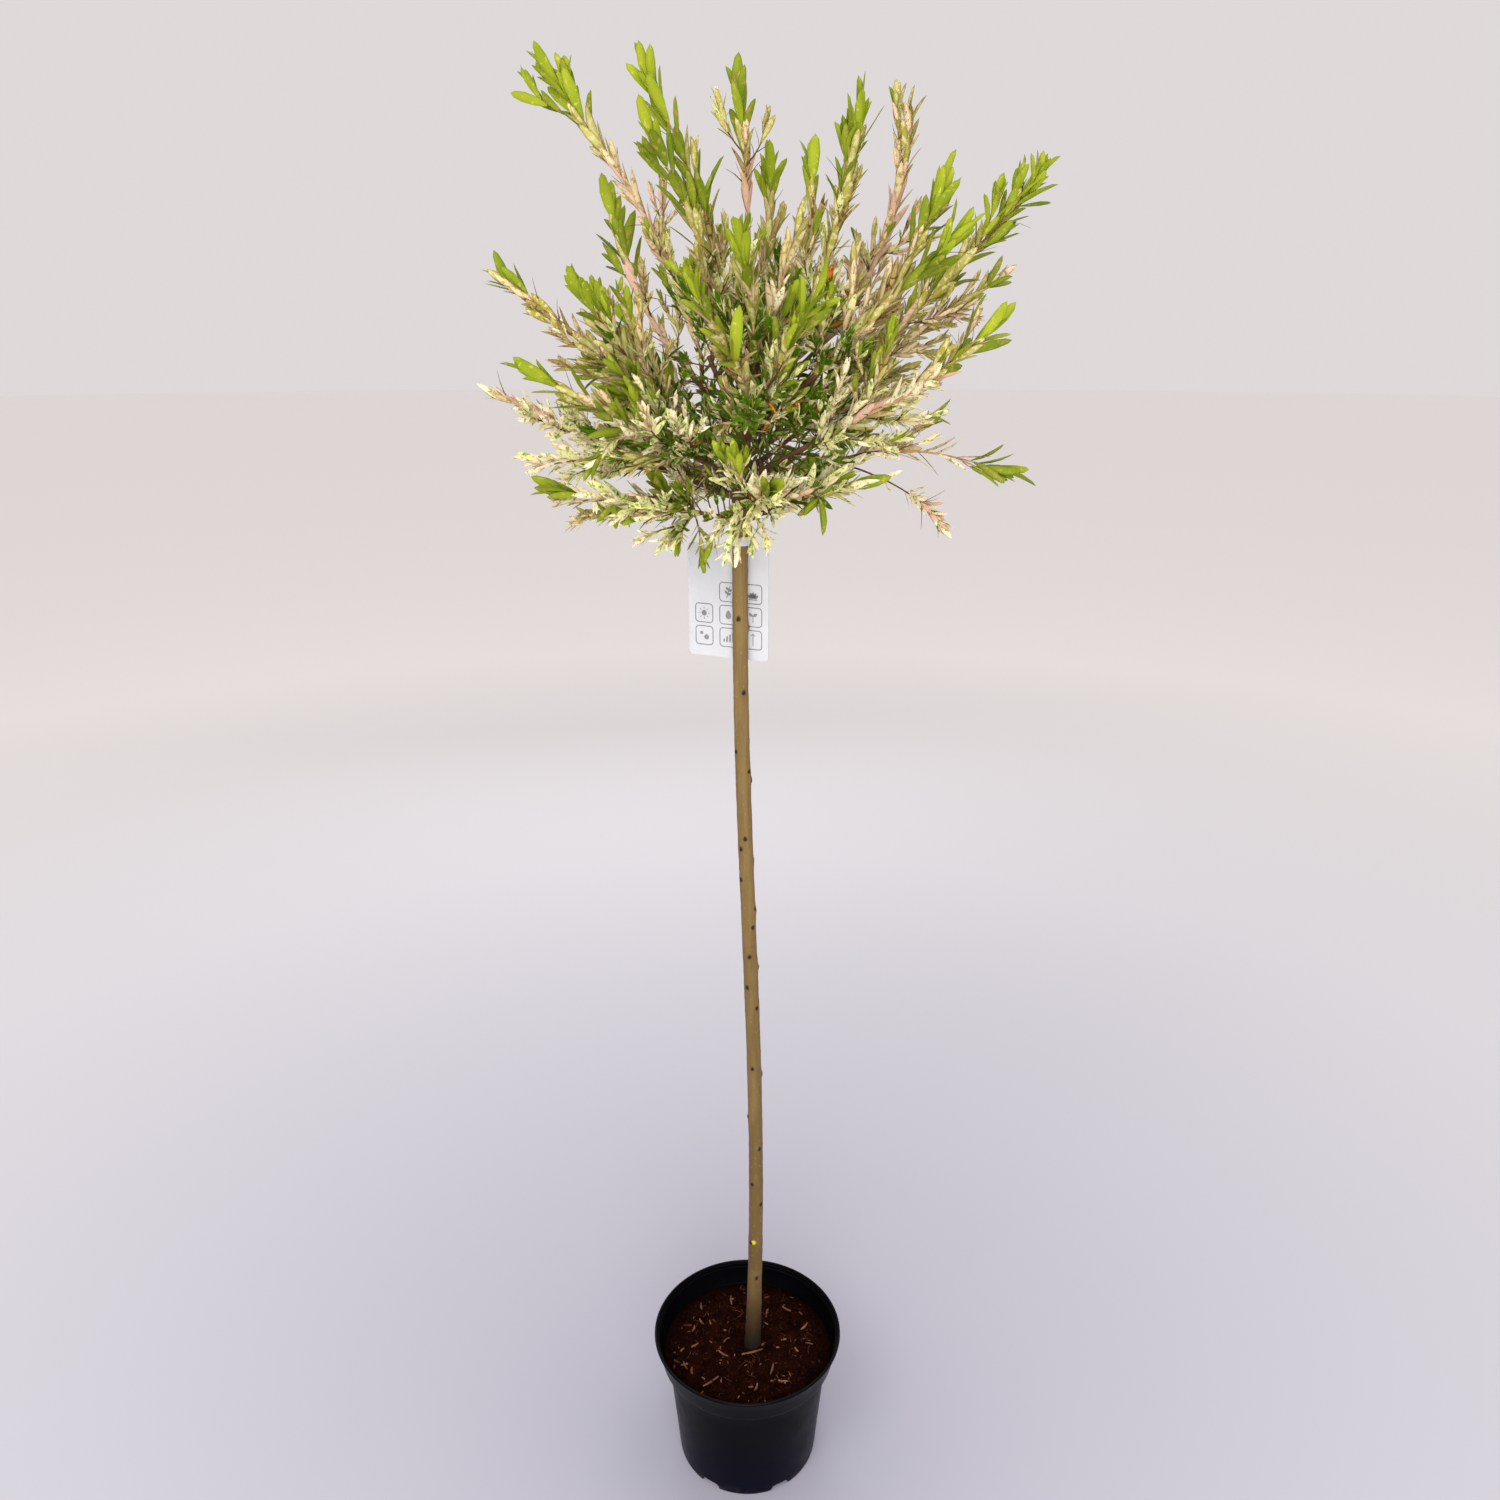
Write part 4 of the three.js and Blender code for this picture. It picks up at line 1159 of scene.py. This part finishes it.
def across_shoot(shoot, heading, turn):
    """A direction across a shoot, turned about its heading from the level line square to its chord."""
    chord = unit(shoot[-1] - shoot[0])
    level = cross(chord, FRONT if abs(chord[2]) > 0.98 else UP)
    level = unit(level - heading * (level @ heading))
    return level * math.cos(turn) + cross(heading, level) * math.sin(turn)


def fork_on(shoot, share, turn):
    """Where something leaves a shoot, the shoot's heading there, and the way straight out from it."""
    along = heading_on(shoot, share)
    return point_on(shoot, share), along, across_shoot(shoot, along, turn)


def limb(shoot, radii, sides, roughness):
    """A round limb with a slightly uneven skin and closed ends."""
    rings = []
    for i, (point, radius) in enumerate(zip(shoot, radii)):
        heading = unit(shoot[min(i + 1, len(shoot) - 1)] - shoot[max(i - 1, 0)])
        rings.append([])
        for k in range(sides):
            out = across_shoot(shoot, heading, 2 * math.pi * k / sides)
            lump = roughness * ripple(*(point + out * radius), 3)
            rings[-1].append(point + out * (radius + lump))
    return skin(rings, shoot[0], shoot[-1])


# Crown


def tip_point(tip):
    turn = math.radians(tip[0])
    return np.array((tip[1] * math.cos(turn), tip[1] * math.sin(turn), tip[2]))


def bough_row(root_level, tips):
    """A bough that leaves the trunk at a flatter slant than it ends with, if it climbs to its tips."""
    root = trunk_axis(root_level)
    way = np.mean([tip_point(tip) for tip in tips], axis=0) - root
    length = min(max(size_of(way) * BOUGH_SHARE, BOUGH_SHORTEST), BOUGH_LONGEST)
    rise = math.atan2(way[2], math.hypot(way[0], way[1]))
    turn = math.atan2(way[1], way[0])

    def slant(angle):
        level, up = math.cos(angle), math.sin(angle)
        return np.array((math.cos(turn) * level, math.sin(turn) * level, up))

    bend = root + slant(rise * 0.55 + 0.12) * length * 0.5
    end = bend + slant(rise * 0.8 + 0.12) * length * 0.5
    return curved_shoot(root, bend, end, BOUGH_POINTS)


def leader_rows(bough, tips):
    """The leading shoots of a mass, from its short stem to a young leaf's length below their tips."""
    heading = heading_on(bough, 1)
    start = bough[-1] + heading * (CLEARANCE + STEM_LENGTH * 0.4)
    rows = []
    for tip in tips:
        goal = tip_point(tip)
        gap = size_of(goal - start)
        end = goal + (start - goal) * (LEADER_END / gap)
        drawn = UP if goal[2] < LOW_TIPS else unit(goal * np.array((1, 1, 0)))
        bend = start + heading * (gap - LEADER_END) * LEADER_BEND + drawn * tip[4]
        rows.append(curved_shoot(start, bend, end, LEADER_POINTS))
    return rows


def single_row(leader, share, tip):
    """A thin shoot that runs out and then turns up or down, and ends a young leaf's length from its tip."""
    start = point_on(leader, share)
    goal = tip_point(tip)
    rising = goal[2] > start[2]
    bend = start + (goal - start) * np.array(RISING_BEND if rising else HANGING_BEND)
    end = goal - unit(goal - bend) * (TWIG_LEAF if rising else HANGING_END)
    return curved_shoot(start, bend, end, TWIG_POINTS)


def plan_crown():
    """Every mass knows its limb, its shoots and its rivals' shoots before any leaf grows."""
    plan = []
    for index, (name, root_level, fullness, tips) in enumerate(MASSES):
        bough = bough_row(root_level, tips)
        leaders = leader_rows(bough, tips)
        singles = [
            (single_row(leaders[which], share, tip), tip[3])
            for which, share, *tip in SINGLE_SHOOTS.get(name, [])
        ]
        rows = leaders + [row for row, _ in singles]
        plan.append({
            "seed": 101 + index * 37,
            "fullness": fullness,
            "singles": singles,
            "bough": bough,
            "leaders": [(leader, tip[3]) for leader, tip in zip(leaders, tips)],
            "samples": np.vstack([[point_on(row, i / 20) for i in range(21)] for row in rows]),
        })
    for mass in plan:
        mass["rivals"] = np.vstack([other["samples"] for other in plan if other is not mass])
    return plan


def nearest(point, samples):
    apart = samples - point
    return math.sqrt(float((apart * apart).sum(1).min()))


def off_the_card(point):
    """The card and its strap stay clear of leaves."""
    off = point - trunk_axis(STRAP_LEVEL)
    along = off[0] * math.cos(CARD_TURN) - off[1] * math.sin(CARD_TURN)
    out = off[0] * math.sin(CARD_TURN) + off[1] * math.cos(CARD_TURN)
    beside = abs(along - CARD_OFFSET) < CARD_WIDTH / 2 + CARD_ROOM_BESIDE
    low = point[2] < CARD_LEVEL + CARD_HEIGHT / 2 + CARD_ROOM_ABOVE
    return not (beside and low and CARD_ROOM_NEAR < out < CARD_ROOM_FAR)


def core_share(point):
    """How deep a place lies in the crown: 1 in its middle, 0 at the reach of the core and less beyond."""
    return 1 - size_of(point - np.array((0, 0, CORE_LEVEL))) / CORE_REACH


def side_coat(point, leader_coat, random):
    """A side shoot's coat: the core's, its leading shoot's, or one of those of the zone it stands in."""
    if random() < CORE_SHOOTS * core_share(point):
        return "core"
    if random() < LEADER_COAT_CHANCE:
        return leader_coat
    weights = next(table for lowest, table in SIDE_COATS if point[2] >= lowest)
    return picked(weights, random)


def kind_on(coat, share, random):
    """The kind of leaf that a coat has at a share of the shoot's length."""
    place = share + swing(random, COAT_BLUR)
    weights = next((table for upto, table in COATS[coat] if place <= upto), COATS[coat][-1][1])
    return picked(weights, random)


class Crown:
    """Grows one mass after another, and collects the wood and the leaves of all, each kind apart."""

    def __init__(self, plan):
        self.limbs = np.vstack([mass["bough"] for mass in plan])
        self.wood = {"twig": [], "young": []}
        self.leaves = {}
        self.mass = None
        self.random = None

    def has_room(self, point):
        """Clear of the trunk, the limbs and the card, and hardly beyond the middle way to the next mass."""
        level = min(max(point[2], TRUNK_FOOT), TRUNK_TOP)
        if size_of(point - trunk_axis(level)) < trunk_radius(level) + LIMB_MARGIN:
            return False
        if nearest(point, self.limbs) < BOUGH_RADIUS + LIMB_MARGIN or not off_the_card(point):
            return False
        return nearest(point, self.mass["samples"]) < nearest(point, self.mass["rivals"]) + MINGLING

    def add_wood(self, kind, shoot):
        """A shoot's older part is brown and its younger part pale; both share the point between them."""
        root_radius, tip_radius, young_from, _ = SHOOT_KINDS[kind]
        widths = np.linspace(root_radius, tip_radius, len(shoot))
        cut = round(young_from * (len(shoot) - 1))
        if cut:
            self.wood["twig"].append((shoot[: cut + 1], widths[: cut + 1]))
        self.wood["young"].append((shoot[cut:], widths[cut:]))

    def add_leaf(self, kind, shoot, share, turn, spread, length):
        """One leaf with its foot in the shoot, if its middle and its tip have room."""
        random = self.random
        outline, openness, longer, wider, _ = LEAF_SHAPES[kind]
        foot, along, out = fork_on(shoot, share, turn)
        heading = unit(along + out * spread * openness + UP * LIGHT_PULL)
        side = cross(along, out)
        right = -unit(side - heading * (side @ heading))
        roll = swing(random, LEAF_ROLL)
        up = cross(right, heading)
        right = right * math.cos(roll) + up * math.sin(roll)
        up = cross(right, heading)
        width = length * uneven(random, *LEAF_WIDTH) * wider
        length = length * longer
        droop = uneven(random, *LEAF_DROOP) * (LIMP_LEAF_DROOP if kind in ("thin", "dry") else 1)
        for reach in (1.0, 0.55):
            if not self.has_room(foot + heading * length * reach - up * droop * length * reach**2):
                return
        fold = uneven(random, *LEAF_FOLD)
        twist = swing(random, LEAF_TWIST)
        sweep = swing(random, THIN_LEAF_SWEEP if kind == "thin" else LEAF_SWEEP)
        numbers = (length, width / 2, fold, droop, twist, sweep)
        self.leaves.setdefault(kind, []).append((foot, right, heading, up, numbers, outline))

    def dress(self, kind, shoot, coat, leaf_length, step_length=CLOSE_STEP):
        """A shoot's wood, nearly opposite pairs of leaves to its tip, and a closed tuft at the tip."""
        random = self.random
        self.add_wood(kind, shoot)
        length = length_of(shoot)
        place = SHOOT_KINDS[kind][3] * length
        first = random() * math.pi
        pair = 0
        while place < length - 0.4 * step_length:
            share = place / length
            here = "core" if random() < CORE_LEAVES * core_share(point_on(shoot, share)) else coat
            leaf = kind_on(here, share, random)
            place += step_length * LEAF_SHAPES[leaf][4] * uneven(random, 0.85, 0.3)
            pair += 1
            if leaf == "bare":
                continue
            spread = (LEAF_SPREAD - LEAF_CLOSING * share) * uneven(random)
            full = leaf_length * (1.0 - 0.3 * abs(share - LONGEST_LEAF_AT)) * uneven(random, 0.78, 0.40)
            pair_turn = first + pair * (math.pi / 2) + swing(random, PAIR_SLACK)
            for half in (0, 1):
                turn = pair_turn + math.pi * half + swing(random, LEAF_SLACK)
                at = min(TIP_SHARE, share + half * PAIR_STAGGER * step_length / length)
                one = "thin" if random() < STRAY_SHARE else leaf
                self.add_leaf(one, shoot, at, turn, spread, full)
        for i, openness in enumerate(TUFT):
            leaf = kind_on(coat, 1.0, random)
            turn = first + i * TUFT_TURN + swing(random, LEAF_SLACK)
            full = leaf_length * (1.02 - 0.04 * i) * uneven(random, 0.9, 0.2)
            if leaf != "bare":
                self.add_leaf(leaf, shoot, TIP_SHARE - 0.015 * i, turn, openness, full)

    def add_side_shoot(self, parent, share, turn, length, coat, leaf_length):
        """A side shoot that leaves its parent at a slant and bends a little towards the light."""
        start, along, out = fork_on(parent, share, turn)
        heading = unit(along + out * 0.95 + UP * LIGHT_PULL)
        later = heading + along * 0.35 + UP * (0.32 * self.random())
        shoot = bent_shoot(start, heading, later, length)
        hanging = shoot[-1][2] < start[2] - HANGING_DROP and start[2] < HANGING_LEVEL
        if hanging and self.random() < HANGING_LOSS:
            return None
        if not all(self.has_room(point_on(shoot, part)) for part in (0.4, 0.7, 1.0)):
            return None
        self.dress("side", shoot, coat, leaf_length)
        return shoot

    def add_tuft(self, leader, share, turn, coat):
        """A short side stalk with a closed tuft of leaves, on the free part of a leading shoot."""
        kind = kind_on(coat, share, self.random)
        if kind in ("bare", "pink"):
            return
        start, along, out = fork_on(leader, share, turn)
        stalk = TUFT_STALK * uneven(self.random)
        bend = start + (along * 0.6 + out * 0.7) * stalk * 0.5
        shoot = curved_shoot(start, bend, start + unit(along + out * 0.5) * stalk, TUFT_POINTS)
        self.add_wood("stalk", shoot)
        for i, openness in enumerate(TUFT[:4]):
            full = LEADER_LEAF * uneven(self.random, 0.72, 0.16)
            self.add_leaf(kind, shoot, 0.96 - 0.08 * i, turn + i * TUFT_TURN, openness * 1.4, full)

    def grow_inside(self, bough):
        """Short shoots from the bough itself fill the middle of the crown, dark but for the lowest."""
        random = self.random
        for i in range(INNER_TWIGS):
            turn = RANK_ANGLE * (i + 0.5) + swing(random, RANK_SLACK)
            length = INNER_TWIG_LENGTH * uneven(random, 0.6, 0.7)
            start, along, out = fork_on(bough, 0.3 + 0.7 * i / (INNER_TWIGS - 1), turn)
            heading = unit(out + along * 0.35 + UP * 0.25)
            shoot = bent_shoot(start, heading, heading + UP * uneven(random, -0.1, 0.6), length)
            end = shoot[-1]
            apart = nearest(end, self.mass["rivals"]) > INNER_MARGIN
            if apart and off_the_card(end) and end[2] > INNER_LOWEST:
                coat = "core" if end[2] > INNER_PALE_BELOW else "white_green"
                self.dress("inner", shoot, coat, INNER_LEAF)

    def grow_leader(self, leader, coat):
        """A leading shoot, with side shoots and their own twiglets low down and tufts on its free part."""
        random = self.random
        self.dress("leader", leader, coat, LEADER_LEAF, LEAF_STEP)
        length = length_of(leader)
        clothed = max(length - FREE_TIP, LEAST_CLOTHED * length)
        place = 0.04 * length
        rank = int(random() * 3)
        while place < clothed:
            share = place / length
            place += TWIG_SPACING * uneven(random) / self.mass["fullness"]
            rank += 1
            if kind_on(coat, share, random) == "bare":
                continue
            turn = RANK_ANGLE * (rank + 0.5) + swing(random, RANK_SLACK)
            twig_length = TWIG_LENGTH * (1 - TWIG_TAPER * share) * uneven(random, 0.6, 0.8)
            twig_coat = side_coat(point_on(leader, share), coat, random)
            twig = self.add_side_shoot(leader, share, turn, twig_length, twig_coat, TWIG_LEAF)
            if twig is None:
                continue
            for part in TWIGLET_PLACES:
                turn = RANK_ANGLE * (rank + part * 5) + swing(random, RANK_SLACK)
                short = TWIGLET_LENGTH * uneven(random) * (1 - TWIGLET_TAPER * part)
                if random() < TWIGLET_CHANCE:
                    self.add_side_shoot(twig, part, turn, short, twig_coat, TWIGLET_LEAF)
        while place < length - 0.6 * LEADER_LEAF:
            self.add_tuft(leader, place / length, RANK_ANGLE * rank + random(), coat)
            place += TUFT_SPACING * uneven(random)
            rank += 1

    def grow(self, mass):
        self.mass, self.random = mass, seeded_random(mass["seed"])
        bough = mass["bough"]
        heading = heading_on(bough, 1)
        foot = bough[-1] - heading * STEM_SUNK
        self.wood["twig"].append((np.array([foot, foot + heading * (STEM_LENGTH + STEM_SUNK)]), STEM_RADII))
        for leader, coat in mass["leaders"]:
            self.grow_leader(leader, coat)
        self.grow_inside(bough)
        for shoot, coat in mass["singles"]:
            rising = shoot[-1][2] > shoot[0][2]
            leaf_length = SINGLE_LEAF if rising or coat == "sparse" else HANGING_LEAF
            self.dress("single", shoot, coat, leaf_length, CLOSE_STEP if rising else HANGING_STEP)


# Each blade's points are four for every station, in the order left rim, top, right rim, bottom, and
# then its foot and its tip.
BLADE_RINGS = 4 * len(LEAF_STATIONS)
BLADE_POINTS = BLADE_RINGS + 2


def leaf_blades(leaves):
    """Closed blades, pointed at both ends, folded along the midrib, from the leaves' frames and numbers."""
    outlines = np.array([leaf[5] for leaf in leaves])
    across = np.zeros((len(leaves), BLADE_POINTS))
    across[:, 0:BLADE_RINGS:4], across[:, 2:BLADE_RINGS:4] = -outlines, outlines
    lift = np.array([0, 1, 0, -1] * len(LEAF_STATIONS) + [0, 0])
    y = np.concatenate([np.repeat(LEAF_STATIONS, 4), [0, 1]])
    foot, right, heading, up = (np.array([leaf[i] for leaf in leaves])[:, None] for i in range(4))
    length, half, fold, droop, twist, sweep = np.array([leaf[4] for leaf in leaves]).T[..., None]
    x = across * half
    z = LEAF_THICKNESS * lift * (1 - 0.5 * y) + fold * FULL_FOLD * np.abs(x)
    turn = twist * y
    x, z = x * np.cos(turn) - z * np.sin(turn), x * np.sin(turn) + z * np.cos(turn)
    x = x + sweep * length * y**2
    z = z - droop * length * y**2
    points = foot + right * x[..., None] + up * z[..., None] + heading * (y * length)[..., None]
    one = skin(np.zeros((len(LEAF_STATIONS), 4, 3)), (0, 0, 0), (0, 0, 0))[1]
    return points, one + (np.arange(len(leaves)) * BLADE_POINTS)[:, None, None]


def crisp_rims(piece):
    """Marks each blade's rim and midrib sharp, so that its two faces and its fold read."""
    edges = np.zeros(len(piece.data.edges) * 2, int)
    piece.data.edges.foreach_get("vertices", edges)
    at = edges.reshape(-1, 2) % BLADE_POINTS
    ends = at >= BLADE_RINGS
    rim = (ends | (at % 2 == 0)).all(1)
    rib = (ends | (at % 4 == 1)).all(1)
    piece.data.attributes.new("sharp_edge", "BOOLEAN", "EDGE").data.foreach_set("value", rim | rib)


def make_leaves(kind, leaves):
    piece = mesh_from(kind + "_leaves", *leaf_blades(leaves))
    crisp_rims(piece)
    mark_points(piece, "rim", np.tile([1, 0, 1, 0] * len(LEAF_STATIONS) + [1, 1], len(leaves)))
    finished(piece, leaf_finish(kind + "_leaf", *LEAF_TONES[kind]), "foliage", *FOLIAGE_NODES)


def make_boughs(plan):
    share = np.linspace(0, 1, BOUGH_POINTS)
    radii = BOUGH_RADIUS + (BOUGH_TIP_RADIUS - BOUGH_RADIUS) * share + BOUGH_COLLAR * np.exp(-share * 5)
    boughs = mesh_from("boughs", *joined([limb(mass["bough"], radii, 14, 0.35) for mass in plan]))
    finished(boughs, wood_finish("bough_bark", (74, 48, 34), (108, 78, 54)), "twig", *BOUGH_NODES)


def make_crown():
    plan = plan_crown()
    make_boughs(plan)
    crown = Crown(plan)
    for mass in plan:
        crown.grow(mass)
    woods = {
        "twig": (wood_finish("twig_bark", (74, 46, 28), (112, 80, 48)), 6),
        "young": (wood_finish("young_shoot", (168, 122, 88), (186, 158, 104)), 5),
    }
    for kind, (material, sides) in woods.items():
        piece = shoots_piece(kind + "_wood", crown.wood[kind], material, sides)
        finished(piece, material, "twig", *FOLIAGE_NODES)
    for kind in LEAF_TONES:
        make_leaves(kind, crown.leaves[kind])


# Label


def placed(outline, turn, across, up):
    """An outline turned about the drawing's middle, then moved."""
    c, s = math.cos(turn), math.sin(turn)
    x = outline[:, 0] * c - outline[:, 1] * s + across
    z = outline[:, 0] * s + outline[:, 1] * c + up
    return np.column_stack([x, z])


def disc(radius, across=0.0, up=0.0):
    turns = turns_round(20)
    return np.column_stack([radius * np.cos(turns) + across, radius * np.sin(turns) + up])


def bar(width, height, across=0.0, up=0.0, turn=0.0):
    """A thin printed stroke, turned about its own middle."""
    return placed(rounded_box(width, height, min(width, height) * 0.45, 2), turn, across, up)


def small_leaf(length, turn, across, up):
    """A pointed leaf's outline from its foot, for the printed marks."""
    t = np.linspace(0, 1, 7)
    half = 0.28 * length * np.sin(math.pi * t)
    far_side = np.column_stack([t * length, half])[::-1][1:-1]
    return placed(np.vstack([np.column_stack([t * length, -half]), far_side]), turn, across, up)


def printed_marks():
    """The outlines of plain marks: a sprig, a bush, a sun, a drop, a seedling, discs, steps, an arrow."""
    sprig_leaves = ((0.5, -2.5), (2.4, -1.5), (0.5, 0.6), (2.4, 1.6))
    sprig = [bar(0.7, 10.5, 0, 0, -0.3)] + [small_leaf(3.8, turn, 0.3 * up, up) for turn, up in sprig_leaves]
    bush = [small_leaf(5.6, turn, 0, -3.6) for turn in (0.5, 1.05, 1.57, 2.09, 2.64)] + [bar(8, 0.7, 0, -4.6)]
    rays = [bar(1.8, 0.6, 4.4 * math.cos(t), 4.4 * math.sin(t), t) for t in turns_round(8)]
    turns = turns_round(18)
    radius = 2.9 * (1 + 0.65 * np.maximum(0, np.sin(turns)) ** 8)
    drop = [np.column_stack([radius * np.cos(turns) * 0.9, radius * np.sin(turns) - 0.8])]
    seedling = [bar(0.7, 6, 0, -1.5), small_leaf(4.6, 0.6, 0, 0.6), small_leaf(4.6, math.pi - 0.6, 0, 0.6)]
    discs = [disc(1.5, -2.6, 2), disc(2.2, 2, -1.4)]
    steps = [bar(1.6, 3, -4, -2.6), bar(1.6, 5, -1.3, -1.6), bar(1.6, 7, 1.4, -0.6), bar(1.6, 9, 4.1, 0.4)]
    arrow = [bar(0.7, 10), bar(0.7, 3, -0.9, 4.2, -0.7), bar(0.7, 3, 0.9, 4.2, 0.7)]
    return [sprig, bush, [disc(2.4)] + rays, drop, seedling, discs, steps, arrow]


def hung(plate, along, level, shift=(0, 0, 0)):
    """Shifts a plate in the drawing, and moves it from there to behind the stem, turned about the stem."""
    points, triangles = plate
    points = points + np.array(shift)
    centre = trunk_axis(STRAP_LEVEL)
    x = points[:, 0] + along
    out = points[:, 1] + trunk_radius(STRAP_LEVEL) + 2 * CLEARANCE + CARD_THICKNESS
    across = centre[0] + x * math.cos(CARD_TURN) + out * math.sin(CARD_TURN)
    back = centre[1] - x * math.sin(CARD_TURN) + out * math.cos(CARD_TURN)
    return np.column_stack([across, back, points[:, 2] + level]), triangles


def on_card(plate, shift=(0, 0, 0)):
    return hung(plate, CARD_OFFSET, CARD_LEVEL, shift)


def strap_band():
    """The strap's loop round the stem."""
    inner = trunk_radius(STRAP_LEVEL) + 2 * CLEARANCE
    outer = inner + CARD_THICKNESS
    low, high = STRAP_LEVEL - STRAP_HEIGHT / 2, STRAP_LEVEL + STRAP_HEIGHT / 2
    turns = turns_round(STRAP_SIDES)
    corners = [(inner, low), (outer, low), (outer, high), (inner, high)]
    points, triangles = bands([level_ring(radius, level, turns) for radius, level in corners], closed=True)
    return points + trunk_axis(STRAP_LEVEL) * (1, 1, 0), triangles


def make_label():
    card = slab(rounded_box(CARD_WIDTH, CARD_HEIGHT, CARD_CORNER, 8), CARD_THICKNESS)
    neck_height = STRAP_LEVEL - CARD_LEVEL - CARD_HEIGHT / 2 + STRAP_HEIGHT / 2 + STRAP_LAP
    neck = slab(rounded_box(STRAP_HEIGHT, neck_height, 1), CARD_THICKNESS)
    neck_level = STRAP_LEVEL + STRAP_HEIGHT / 2 - neck_height / 2
    parts = [on_card(card), hung(neck, 0, neck_level), strap_band()]
    plate = mesh_from("label_plate", *joined(parts))
    plate.data.set_sharp_from_angle(angle=math.radians(CARD_CREASE_DEG))
    finished(plate, card_finish("white_card", (185, 187, 192), (194, 196, 201), 0.3), "card", "label_card")

    outer = rounded_box(FRAME_SIZE, FRAME_SIZE, FRAME_CORNER)
    inner_size = FRAME_SIZE - 2 * FRAME_LINE
    inner = rounded_box(inner_size, inner_size, FRAME_INNER_CORNER)
    frames, marks = [], []
    places = [(column, row) for row in FRAME_ROWS for column in FRAME_COLUMNS][1:]
    for (column, row), drawing in zip(places, printed_marks()):
        shift = (column, -CARD_THICKNESS, row)
        frames.append(on_card(ring_slab(outer, inner, PRINT_THICKNESS), shift))
        marks += [on_card(slab(outline, PRINT_THICKNESS), shift) for outline in drawing]
    grey = card_finish("printed_grey", (98, 98, 102), (118, 118, 122), 0.3)
    finished(mesh_from("label_frames", *joined(frames), smooth=False), grey, "card", "label_card")
    soft = card_finish("printed_soft_grey", (110, 110, 114), (132, 132, 136), 0.4)
    finished(mesh_from("label_marks", *joined(marks), smooth=False), soft, "card", "label_card")


# Stage, light and camera


def make_stage():
    turns = turns_round(FLOOR_SIDES)
    rings = [level_ring(FLOOR_RADIUS, level, turns) for level in (-FLOOR_THICKNESS, 0)]
    floor = mesh_from("floor", *skin(rings, (0, 0, -FLOOR_THICKNESS), (0, 0, 0)), smooth=False)
    floor.data.materials.append(floor_finish())


def make_light():
    world = bpy.data.worlds.new("soft_room")
    bpy.context.scene.world = world
    world.use_nodes = True
    background = next(n for n in world.node_tree.nodes if n.type == "BACKGROUND")
    background.inputs["Color"].default_value = ROOM_COLOUR
    background.inputs["Strength"].default_value = 1.0
    for name, (place, aim, size, power, colour) in LAMPS.items():
        light = bpy.data.lights.new(name, "AREA")
        light.shape, light.size, light.energy, light.color = "DISK", size, power, colour
        lamp = link_object(name, light)
        lamp.location = place
        lamp.visible_camera = False
        lamp.rotation_euler = (Vector(aim) - Vector(place)).to_track_quat("-Z", "Y").to_euler()
    bpy.context.scene.view_settings.view_transform = "Standard"


def make_camera():
    camera = bpy.data.cameras.new("camera")
    camera.lens, camera.sensor_width = CAMERA_LENS, SENSOR_WIDTH
    holder = link_object("camera", camera)
    holder.location = CAMERA_PLACE
    holder.rotation_euler = (math.radians(90 - CAMERA_DOWN_DEG), 0, 0)
    bpy.context.scene.camera = holder


make_camera()
make_light()
make_stage()
make_pot()
make_compost()
make_trunk()
make_label()
make_crown()
